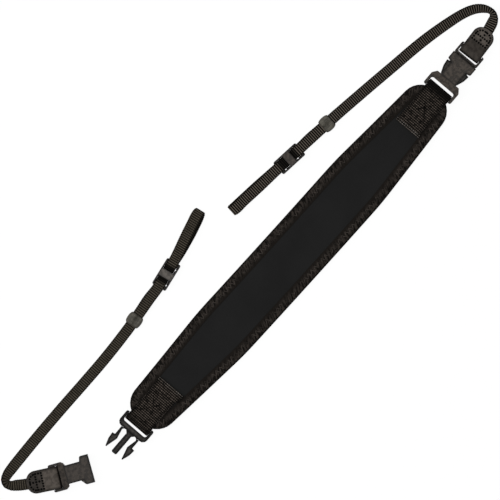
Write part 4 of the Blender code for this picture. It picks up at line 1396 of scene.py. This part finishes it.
@dataclass
class Socket(Moulding):
    """Female half of a buckle, with ridges along its waist, a rim round its mouth and, where given, a dark
    ledge and sills in its slot as painted shadow.

    Attributes:
        heel, window: where the webbing's slot ends and the waist begins.
        collar, mouth: from the window's start to the collar and to the mouth.
        shadow_ledge: width of the dark ledge that fills the slot as painted shadow, if there is one.
        slope: slant of one corner of each window, if they are slanted.
        ridge_past: how far the ridges run on before the window and past the collar.
        lip_at: where the lip starts and ends, back from the mouth.
        web_drop: how far below the middle the ledge's two faces are.
        sills: how far each pair of dark sills, painted shadow beside the webbing, stands in from the slot's
            end, and its depth.
        shoulder: how far the collar's slant goes past its edge along and across.
    """

    heel: float = 6.1 * MM
    window: float = 12.8 * MM
    slot_half: float = 13.0 * MM
    corner: float = 2.4 * MM
    collar: float = 14.2 * MM
    mouth: float = 23.2 * MM
    ridge: float = 7.2 * MM
    lip: float = 12.0 * MM
    middle: float = 4.5 * MM
    top: float = 9.0 * MM
    shadow_ledge: float = 0.0
    waist: float = 8.4 * MM
    slope: float = 0.0
    frame_half: float = 2.4 * MM
    ridge_width: float = 0.7 * MM
    ridge_rise: float = 0.3 * MM
    ridge_past: Spot = (0.6 * MM, 1.2 * MM)
    lip_at: Spot = (1.8 * MM, 0.8 * MM)
    web_drop: Spot = (2.7 * MM, 2.1 * MM)
    sill_back: float = -2.0 * MM
    sill_reach: float = 2.8 * MM
    sills: tuple[Spot, Spot] = ((0.25 * MM, 1.0 * MM), (0.7 * MM, 0.5 * MM))
    shoulder: Spot = (1.1 * MM, 0.8 * MM)
    heel_width: float = 2.4 * MM

    def __post_init__(self) -> None:
        """Lay out the details on both sides."""
        high = (self.top - SINK, self.top + self.ridge_rise)
        frame_level = around(self.middle, self.frame_half)
        before, past = self.ridge_past
        along = (self.window - before, self.window + self.collar + past)
        for side in (1.0, -1.0):
            across = span(side * self.ridge, side * (self.ridge - self.ridge_width))
            self.plates.append(bar_plate(along, across, high))
            spot = (self.heel + SINK, side * (self.slot_half + SINK))
            self.plates.append(fillet_plate(spot, (-self.corner, -side * self.corner), frame_level))
        if self.shadow_ledge:
            self._fill_slot_shadow()
        if self.slope:
            self._slant_windows()
        start, end = (self.window + self.mouth - back for back in self.lip_at)
        self.plates.append(bar_plate((start, end), (-self.lip, self.lip), high))

    def _fill_slot_shadow(self) -> None:
        """Lay a dark ledge along the slot and dark sills beside it, as painted shadow in the slot."""
        web = (self.heel - self.shadow_ledge, self.heel + SINK)
        level = tuple(self.middle - drop for drop in self.web_drop)
        self.plates.append(bar_plate(web, (-self.slot_half, self.slot_half), level))
        for side in (1.0, -1.0):
            wall = side * (self.slot_half + SINK)
            for reach, (inset, depth) in zip((self.heel, self.sill_reach), self.sills):
                sill = span(wall, side * (self.slot_half - inset))
                level = (self.middle - depth, self.middle)
                self.plates.append(bar_plate((self.sill_back, reach), sill, level))

    def _slant_windows(self) -> None:
        """Fill one corner of each window with a wedge."""
        along, across = self.shoulder
        inner, outer, level = self.waist - GAP, self.lip + across, (GAP, self.top - SINK)
        collar = self.window + self.collar + along
        shoulder = ((collar - along - self.slope, -inner), (collar, -outer), (collar, -inner))
        back = self.window - GAP
        heel = ((self.window + self.slope / 2, inner), (back, inner + self.heel_width), (back, inner))
        self.plates += [Plate(shoulder, *level), Plate(heel, *level)]


@dataclass
class Plug(Moulding):
    """Male half of a buckle without its arms, rounded where arms, guide and cross-bar meet.

    Attributes:
        root: where the arms and the guide spring from the frame.
        web: reach of the fillets at the arms.
        guide_web: how much larger the fillets at the guide are.
    """

    root: float = 11.3 * MM
    slot_half: float = 13.0 * MM
    corner: float = 2.4 * MM
    crossbar: float = 5.2 * MM
    arm_inside: float = 8.0 * MM
    guide_half: float = 2.3 * MM
    web: float = 2.6 * MM
    middle: float = 3.9 * MM
    guide_length: float = 23.3 * MM
    cheek: float = 0.45 * MM
    arm_half: float = 2.0 * MM
    frame_half: float = 2.4 * MM
    guide_web: float = 1.2
    guide_tip: float = 0.8 * MM

    def __post_init__(self) -> None:
        """Lay out the cheeks and webs on both sides."""
        level = around(self.middle, self.arm_half)
        frame_level = around(self.middle, self.frame_half)
        along = (self.root + self.web, self.root + self.guide_length - self.guide_tip)
        wide_web = self.web * self.guide_web
        for side in (1.0, -1.0):
            cheek = span(side * (self.guide_half - 2 * SINK), side * (self.guide_half + self.cheek))
            self.plates.append(bar_plate(along, cheek, level))
            by_guide = (self.root - SINK, side * (self.guide_half - SINK))
            self.plates.append(fillet_plate(by_guide, (wide_web, side * wide_web), level))
            by_arm = (self.root - SINK, side * (self.arm_inside + SINK))
            self.plates.append(fillet_plate(by_arm, (self.web, -side * self.web), level))
            by_slot = (self.root - self.crossbar + SINK, side * (self.slot_half + SINK))
            self.plates.append(fillet_plate(by_slot, (-self.corner, -side * self.corner), frame_level))


@dataclass
class Slider(Moulding):
    """Three-bar slider with low dark sills beside the webbing, which stand for the shadow in its slots.

    Attributes:
        shift: side that the webbing leaves the wider gap on, 1 or -1.
        openings: stretches of the two slots where that gap stays open.
        wide_side, close_side: the gap beside the webbing on either side.
    """

    shift: float = 1.0
    openings: tuple[Spot, ...] = ()
    bar_half: float = 3.65 * MM
    slot_end: float = 9.5 * MM
    wide_side: Spot = (5.13 * MM, 6.4 * MM)
    opening: float = 0.65 * MM
    close_side: Spot = (5.13 * MM, 5.6 * MM)
    level: Spot = (0.4 * MM, 1.4 * MM)
    shortest: float = 0.1 * MM
    bar_edge: float = 0.05 * MM
    dark: float = 0.85

    def __post_init__(self) -> None:
        """Lay the dark sills, painted shadow, in both slots, open where light shows through."""
        inner, outer = self.wide_side
        across = span(self.shift * inner, self.shift * outer)
        close = span(*(-self.shift * edge for edge in self.close_side))
        ledge = span(self.shift * (inner + self.opening), self.shift * outer)
        for sign in (1.0, -1.0):
            slot = span(sign * self.bar_half, sign * self.slot_end)
            self.plates.append(bar_plate(slot, close, self.level))
            self.plates.append(bar_plate(slot, ledge, self.level))
            gap = next(opening for opening in self.openings if opening[0] * sign > 0)
            for start, end in ((slot[0], gap[0]), (gap[1], slot[1])):
                if end - start > self.shortest:
                    self.plates.append(bar_plate((start, end), across, self.level))

    def shade(self, place: Vector) -> float:
        """Return a darker tone everywhere off the centre bar, which stays paler; on the sills it is painted
        shadow.
        """
        from_bar = abs((self.frame_of.inverted() @ place).x) - self.bar_half
        return self.dark if from_bar > self.bar_edge else 0.0


@dataclass
class Keeper:
    """Rubber ring: a bulged wall with fine lengthwise ribs round the webbing, with painted shade in its
    grooves, on its ends and inside.

    Attributes:
        side_wall, flat_wall: thickness at the ends and half-way, at the sides and on the flats.
    """

    side: Side
    frame_of: Matrix
    length: float = 10.5 * MM
    slot: Spot = (11.2 * MM, 3.6 * MM)
    middle: float = 2.8 * MM
    side_wall: Spot = (0.25 * MM, 1.35 * MM)
    flat_wall: Spot = (0.4 * MM, 0.9 * MM)
    slot_round: float = 0.5 * MM
    squareness: float = 7.0
    bulge: float = 2.6
    rib: float = 0.14 * MM
    ribs: int = 22
    rib_run_out: float = 3.0
    rib_shade: float = 0.35
    end_shade: float = 0.8
    stations: int = 132
    steps: int = 8

    def rim(self) -> tuple[np.ndarray, np.ndarray]:
        """Return points round the slot and the outward directions there."""
        half_y, half_z = (size / 2 - self.slot_round for size in self.slot)
        power = self.squareness
        spots = []
        for share in np.linspace(0.0, 1.0, self.stations, endpoint=False):
            angle = share * math.tau
            away = np.array([math.cos(angle), math.sin(angle)])
            size = (abs(away[0] / half_y) ** power + abs(away[1] / half_z) ** power) ** (-1 / power)
            spots.append(away * size)
        points = np.array(spots)
        slope = np.roll(points, -1, axis=0) - np.roll(points, 1, axis=0)
        outward = unit_rows(np.column_stack([slope[:, 1], -slope[:, 0]]))
        return points + outward * self.slot_round, outward

    def build(self) -> Piece:
        """Sweep the wall's bulged section round the slot."""
        points, outward = self.rim()
        along = np.linspace(-1.0, 1.0, self.steps + 1)
        rise = 1.0 - np.abs(along) ** self.bulge
        sideways = np.abs(outward[:, 0])
        low = self.flat_wall[0] + (self.side_wall[0] - self.flat_wall[0]) * sideways
        high = self.flat_wall[1] + (self.side_wall[1] - self.flat_wall[1]) * sideways
        wall = low[:, None] + (high - low)[:, None] * rise[None]
        wave = np.cos(np.arange(self.stations) / self.stations * math.tau * self.ribs)
        wall += self.rib * wave[:, None] * np.clip(rise[None] * self.rib_run_out, 0.0, 1.0)
        outer = points[:, None] + outward[:, None] * wall[:, :, None]
        rings = np.zeros((self.stations, self.steps + 3, 3))
        rings[:, : self.steps + 1, 0] = along * self.length / 2
        rings[:, : self.steps + 1, 1:] = outer
        rings[:, self.steps + 1 :, 1:] = points[:, None]
        rings[:, self.steps + 1, 0], rings[:, self.steps + 2, 0] = self.length / 2, -self.length / 2
        rings[:, :, 2] += self.middle
        turn = np.array(self.frame_of)
        rings = rings @ turn[:3, :3].T + turn[:3, 3]
        # Painted shade in the grooves between the ribs, and on the ring's ends and inner wall.
        groove = self.rib_shade * np.clip(-wave, 0.0, 1.0)
        shade = np.repeat(groove[:, None], self.steps + 3, axis=1)
        shade[:, [0, self.steps, self.steps + 1, self.steps + 2]] = self.end_shade
        name = self.side.value + "_keeper"
        piece = dress(loft(name + "_ring", rings, endless=True, shade=shade), RUBBER)
        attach(piece, name + "_body")
        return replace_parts(piece, name)


@dataclass
class LeatherTab:
    """Leather tab folded round a bar and sewn shut on the thin webbing.

    Attributes:
        fold: how far the fold stands out past the bar's middle.
        tones: shade before and past the place where the tab closes.
        fall: share of the way down that a leg has come half-way there.
        tone_change: how far before and past the closing place the shade changes.
        fold_band: how far in from the fold the band of painted shade fades, and over what length.
    """

    side: Side
    frame_of: Matrix
    fold: float
    tones: Spot
    fold_shade: float
    width: float = 20.5 * MM
    length: float = 25.5 * MM
    thickness: float = 1.6 * MM
    corner: float = 8.5 * MM
    close_at: float = 10.5 * MM
    fall: float = 0.55
    bar_height: float = 4.5 * MM
    fold_height: float = 3.7 * MM
    end_height: float = 2.8 * MM
    spread: float = 1.7 * MM
    seam: float = 3.0 * MM
    flat_at: float = 18.0 * MM
    step: float = 0.35 * MM
    tone_change: Spot = (0.5 * MM, 1.0 * MM)
    fold_band: Spot = (1.6 * MM, 0.8 * MM)
    seam_start: float = 0.6 * MM
    seam_sunk: float = 0.05 * MM

    def leg(self, sign: float) -> list[Point]:
        """Return one leg from the fold to its end, above the webbing where the sign is positive."""
        knots = [(self.close_at / 2, self.fall)]
        knots += [(x, 1.0) for x in (self.close_at, self.flat_at, self.length)]
        start, end = self.bar_height + sign * self.fold_height, self.end_height + sign * self.spread
        return [(x, 0.0, start + (end - start) * share) for x, share in knots]

    def half_width(self, x: np.ndarray) -> np.ndarray:
        """Return half the tab's width at places along it, rounded at its end."""
        past = np.clip(x - (self.length - self.corner), 0.0, self.corner)
        return self.width / 2 - self.corner + np.sqrt(self.corner**2 - past**2)

    def build(self) -> Piece:
        """Fold the leather, sew it and hang it on its connector."""
        turn = bar_turn(self.fold, self.fold_height, self.bar_height, 1.0)
        local = smooth_route(self.leg(1.0)[::-1] + turn + self.leg(-1.0), self.step)
        points = np.array(carried([tuple(point) for point in local], self.frame_of))
        along = local[:, 0]
        before, past = self.tone_change
        tones = np.interp(along, [self.close_at - before, self.close_at + past], self.tones)
        inset, fade = self.fold_band
        # Painted shade where the leather turns down round the fold.
        tones += self.fold_shade * np.clip((self.fold - inset + along) / -fade, 0.0, 1.0)
        name = self.side.value + "_tab"
        lefts = level_lefts(self.frame_of, len(points))
        width = 2 * self.half_width(along)
        piece = ribbon(name + "_leather", points, lefts, width, self.thickness, tones)
        dress(piece, LEATHER)
        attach(piece, self.side.value + "_connector")
        self.sew(name)
        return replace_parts(piece, name)

    def sew(self, name: str) -> None:
        """Sew round the tab's end, across it and in a cross inside."""
        height = self.end_height + self.spread + self.thickness / 2 - self.seam_sunk
        start, side = self.close_at + self.seam_start, self.width / 2 - self.seam
        turn = self.corner - self.seam
        centre = self.length - self.corner
        arc = [
            (centre + turn * math.sin(angle), side - turn * (1 - math.cos(angle)))
            for angle in quarter_angles()
        ]
        ring = [(start, side), *arc, *((x, -y) for x, y in reversed(arc)), (start, -side)]
        end = self.length - self.seam
        middle = (start + end) / 2
        rows = [[(x, -side), (x, side)] for x in (start, middle)]
        rows.insert(1, [(start, 0.0), (end, 0.0)])
        lines = [carried([(x, y, height) for x, y in row], self.frame_of) for row in [ring, *rows]]
        seam = stitch_row(
            name + "_stitches", lines, THREAD, pitch=2.4 * MM, length=2.0 * MM, thickness=2.0 * MM
        )
        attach(seam, self.side.value + "_connector")


@dataclass
class Studio:
    """Camera straight above, soft white light and a white table.

    Attributes:
        ambient: strength of the light from all round.
        paper: grey level and roughness of the table.
        glow: strength of the white that the table shows, and its share of what is seen.
    """

    centre: Spot = (-18.7 * MM, 31.5 * MM)
    turn: float = -47.68
    height: float = 4.0
    lens: float = 320.0
    sensor: float = 36.0
    sight: float = 20.0
    table: float = 3.0
    ambient: float = 0.35
    paper: Spot = (0.9, 0.9)
    glow: Spot = (1.02, 0.9)

    def build(self) -> None:
        """Set the camera, the lights, the white world and the table."""
        self._camera()
        self._world()
        self._lamp("overhead", (-0.3, 0.4, 5.0), size=2.0, power=120.0)
        self._lamp("key", (-0.9, 1.1, 1.5), size=1.0, power=10.0)
        self._floor()
        bpy.context.scene.view_settings.view_transform = "Standard"

    def _camera(self) -> None:
        """Put a long lens above the middle of the picture."""
        data = bpy.data.cameras.new("camera")
        data.lens = self.lens
        data.sensor_width = self.sensor
        data.clip_end = self.sight
        camera = bpy.data.objects.new("camera", data)
        camera.location = (*self.centre, self.height)
        camera.rotation_euler = (0.0, 0.0, math.radians(self.turn))
        bpy.context.scene.collection.objects.link(camera)
        bpy.context.scene.camera = camera

    @staticmethod
    def _seen(sheet: NodeSheet) -> NodeSocket:
        """Return 1 for rays that show the background: to the camera, in gloss or through glass."""
        path = sheet.node("ShaderNodeLightPath").outputs
        seen = sheet.math("MAXIMUM", path["Is Camera Ray"], path["Is Glossy Ray"])
        return sheet.math("MAXIMUM", seen, path["Is Transmission Ray"])

    def _world(self) -> None:
        """Light from all round, and plain white where it is seen."""
        world = bpy.data.worlds.new("white_tent")
        world.use_nodes = True
        sheet = NodeSheet(world.node_tree)
        background = world.node_tree.nodes["Background"]
        background.inputs["Color"].default_value = (1.0, 1.0, 1.0, 1.0)
        strength = sheet.math("MULTIPLY_ADD", self._seen(sheet), 1.0 - self.ambient, self.ambient)
        sheet.tree.links.new(strength, background.inputs["Strength"])
        bpy.context.scene.world = world

    @staticmethod
    def _lamp(name: str, place: Point, size: float, power: float) -> None:
        """Hang a soft lamp and point it at the strap."""
        data = bpy.data.lights.new(name, "AREA")
        data.size = size
        data.energy = power
        lamp = bpy.data.objects.new(name, data)
        lamp.location = place
        lamp.rotation_euler = (-Vector(place)).to_track_quat("-Z", "Y").to_euler()
        bpy.context.scene.collection.objects.link(lamp)

    def _floor(self) -> None:
        """Lay a white table that keeps the strap's shadow."""
        half = self.table / 2
        mesh = bpy.data.meshes.new("table")
        corners = [(-half, -half, 0.0), (half, -half, 0.0), (half, half, 0.0), (-half, half, 0.0)]
        mesh.from_pydata(corners, [], [(0, 1, 2, 3)])
        table = show("table", mesh)
        material = bpy.data.materials.new("white_table")
        material.use_nodes = True
        sheet = NodeSheet(material.node_tree)
        shader = material.node_tree.nodes["Principled BSDF"]
        grey, roughness = self.paper
        strength, seen = self.glow
        shader.inputs["Base Color"].default_value = (grey, grey, grey, 1.0)
        shader.inputs["Roughness"].default_value = roughness
        glow = sheet.node("ShaderNodeEmission", {"Color": (1.0, 1.0, 1.0, 1.0), "Strength": strength})
        share = sheet.math("MULTIPLY", self._seen(sheet), seen)
        mix = sheet.node("ShaderNodeMixShader", {0: share, 1: shader.outputs[0], 2: glow.outputs[0]})
        sheet.tree.links.new(mix.outputs[0], material.node_tree.nodes["Material Output"].inputs["Surface"])
        mesh.materials.append(material)


UPPER_END = Place(201.6 * MM, 2.4 * MM, 2.0)
LOWER_END = Place(-201.6 * MM, 0.5 * MM, 181.8)
UPPER_TAB = UPPER_END.matrix() @ Place(44.8 * MM, 0.0, 3.0).matrix()
LOWER_SOCKET = Place(-288.7 * MM, 23.3 * MM, -32.1).matrix()
LOWER_TAB = LOWER_SOCKET @ Place(0.0, 0.0, 176.6).matrix()

UPPER_STRAP = ConnectorStrap(
    Side.UPPER, UPPER_TAB,
    run=[
        (0.0285, 0.0004, 0.0029, 2), (0.0334, 0.0014, 0.0035, 20), (0.0375, 0.0031, 0.0043, 45),
        (0.0400, 0.0060, 0.0049, 60), (0.0402, 0.0100, 0.0049, 60), (0.0385, 0.0145, 0.0045, 48),
        (0.0349, 0.0194, 0.0040, 38), (0.0293, 0.0238, 0.0036, 33), (0.0226, 0.0273, 0.0033, 30),
        (0.0091, 0.0324, 0.0028, 23), (-0.0046, 0.0368, 0.0022, 16), (-0.0185, 0.0407, 0.0017, 10),
        (-0.0325, 0.0440, 0.0012, 4), (-0.0466, 0.0470, 0.0008, 0), (-0.0748, 0.0532, 0.0008, 0),
        (-0.1001, 0.0586, 0.0010, 0),
    ],
    lead=[
        (-0.0630, 0.0002, 0.0032), (-0.0538, 0.0, 0.0035), (-0.0462, 0.0, 0.0036), (-0.0388, 0.0, 0.0036),
        (-0.0250, 0.0, 0.0040),
    ],
    loop=[
        (0.0220, 0.0002, 0.0036), (0.0350, 0.0005, 0.0027), (0.0550, 0.0005, 0.0024),
        (0.0690, 0.0004, 0.0023), (0.0700, 0.0, 0.0015), (0.0690, -0.0004, 0.0007),
        (0.0665, -0.0004, 0.0007), (0.0550, -0.0005, 0.0007), (0.0350, -0.0005, 0.0010),
        (0.0220, -0.0002, 0.0019),
    ],
    tail=[
        (-0.0250, -0.0005, 0.0024), (-0.0388, -0.0001, 0.0020), (-0.0518, 0.0, 0.0019),
        (-0.0598, 0.0, 0.0018),
    ],
    slider=Place(-174.9 * MM, 72.6 * MM, 169.8),
    keeper=Place(-129.4 * MM, 64.4 * MM, 169.8),
    tip_taper=0.03, finish=THIN_WEB, shadow_reach=12.5 * MM,
)
LOWER_STRAP = ConnectorStrap(
    Side.LOWER, LOWER_TAB,
    run=[
        (0.0290, -0.0002, 0.0029, -2), (0.0345, -0.0009, 0.0034, -16), (0.0395, -0.0017, 0.0040, -38),
        (0.0432, -0.0043, 0.0045, -48), (0.0435, -0.0082, 0.0043, -45), (0.0407, -0.0121, 0.0035, -30),
        (0.0355, -0.0168, 0.0024, -16), (0.0245, -0.0258, 0.0012, -4), (0.0020, -0.0436, 0.0008, 0),
        (-0.0210, -0.0611, 0.0008, 0), (-0.0442, -0.0783, 0.0008, 0), (-0.0671, -0.0957, 0.0008, 0),
        (-0.0843, -0.1098, 0.0017, 0),
    ],
    lead=[
        (-0.0660, 0.0038, 0.0031), (-0.0575, 0.0030, 0.0035), (-0.0500, 0.0025, 0.0036),
        (-0.0425, 0.0020, 0.0036), (-0.0260, 0.0010, 0.0040),
    ],
    loop=[
        (0.0220, 0.0007, 0.0050), (0.0350, 0.0022, 0.0061), (0.0500, 0.0036, 0.0066),
        (0.0612, 0.0043, 0.0059), (0.0648, 0.0036, 0.0037), (0.0612, 0.0026, 0.0014),
        (0.0500, 0.0011, 0.0008), (0.0350, 0.0001, 0.0009), (0.0220, -0.0002, 0.0019),
    ],
    tail=[
        (-0.0260, 0.0015, 0.0024), (-0.0425, 0.0021, 0.0020), (-0.0560, 0.0029, 0.0019),
        (-0.0640, 0.0035, 0.0018),
    ],
    slider=Place(-136.6 * MM, -158.1 * MM, -133.8),
    keeper=Place(-100.2 * MM, -123.8 * MM, -137.0),
    tip_taper=0.14, finish=DUSKY_WEB, shadow_reach=10.0 * MM,
)

WEBBINGS = [
    EndWebbing(
        Side.UPPER, UPPER_END, 4.5 * MM, hem=(2.8 * MM, 27.0 * MM, 0.0), bar_shadow=(0.90, -8.0 * MM, -2.5 * MM),
        turn_radius=2.9 * MM,
    ),
    EndWebbing(
        Side.LOWER, LOWER_END, 3.9 * MM, hem=(8.6 * MM, 28.0 * MM, 0.8 * MM), bar_shadow=(0.6, -6.0 * MM, 1.0 * MM),
        turn_radius=3.2 * MM,
    ),
]

UPPER_OPENINGS = ((-6.8 * MM, -5.4 * MM), (8.0 * MM, 9.3 * MM))
LOWER_OPENINGS = ((-9.3 * MM, -8.0 * MM), (6.8 * MM, 8.2 * MM))
WIDE_RIM = (0.9 * MM, 1.7 * MM)
MOULDINGS = [
    Socket("upper_socket", "pad", PLASTIC, frame_of=UPPER_END.matrix()),
    Moulding("upper_plug", "upper_connector", PLASTIC),
    # The upper prongs sit low in the socket's windows; their darker plastic is painted shade there.
    Moulding("upper_prong_left", "upper_left_arm", DARK_PLASTIC, rim=WIDE_RIM),
    Moulding("upper_prong_right", "upper_right_arm", DARK_PLASTIC, rim=WIDE_RIM),
    Plug("lower_plug", "lower_plug_body", DARK_PLASTIC, frame_of=LOWER_END.matrix(), rim=WIDE_RIM),
    Moulding("lower_prong_left", "lower_left_arm", DARK_PLASTIC, rim=WIDE_RIM),
    Moulding("lower_prong_right", "lower_right_arm", DARK_PLASTIC, rim=WIDE_RIM),
    Socket(
        "lower_socket", "lower_socket_body", PLASTIC, frame_of=LOWER_SOCKET,
        heel=5.5 * MM, window=11.1 * MM, slot_half=10.6 * MM, corner=1.0 * MM, shadow_ledge=1.2 * MM,
        slope=2.8 * MM, dull=0.28, rim=(0.45 * MM, 1.35 * MM),
    ),
    Slider(
        "upper_slider", "upper_slider_body", PLASTIC, Slot.SLIDER, UPPER_STRAP.at_slider(),
        shift=1.0, openings=UPPER_OPENINGS,
    ),
    Slider(
        "lower_slider", "lower_slider_body", PALE_PLASTIC, Slot.SLIDER, LOWER_STRAP.at_slider(),
        shift=-1.0, openings=LOWER_OPENINGS,
    ),
]
TABS = [
    LeatherTab(Side.UPPER, UPPER_TAB, fold=4.2 * MM, tones=(0.56, 0.0), fold_shade=0.3),
    LeatherTab(Side.LOWER, LOWER_TAB, fold=4.4 * MM, tones=(0.12, 0.64), fold_shade=0.9),
]
KEEPERS = [
    Keeper(Side.UPPER, UPPER_TAB @ UPPER_STRAP.keeper.matrix()),
    Keeper(Side.LOWER, LOWER_TAB @ LOWER_STRAP.keeper.matrix()),
]


def main() -> None:
    """Build every sub-assembly in order."""
    logging.basicConfig(level=logging.INFO, format="%(message)s")
    Studio().build()
    UPPER_STRAP.build()
    LOWER_STRAP.build()
    NeckPad().build()
    for webbing in WEBBINGS:
        webbing.build()
    for piece in (*MOULDINGS, *TABS, *KEEPERS):
        piece.build()


if __name__ == "__main__":
    main()
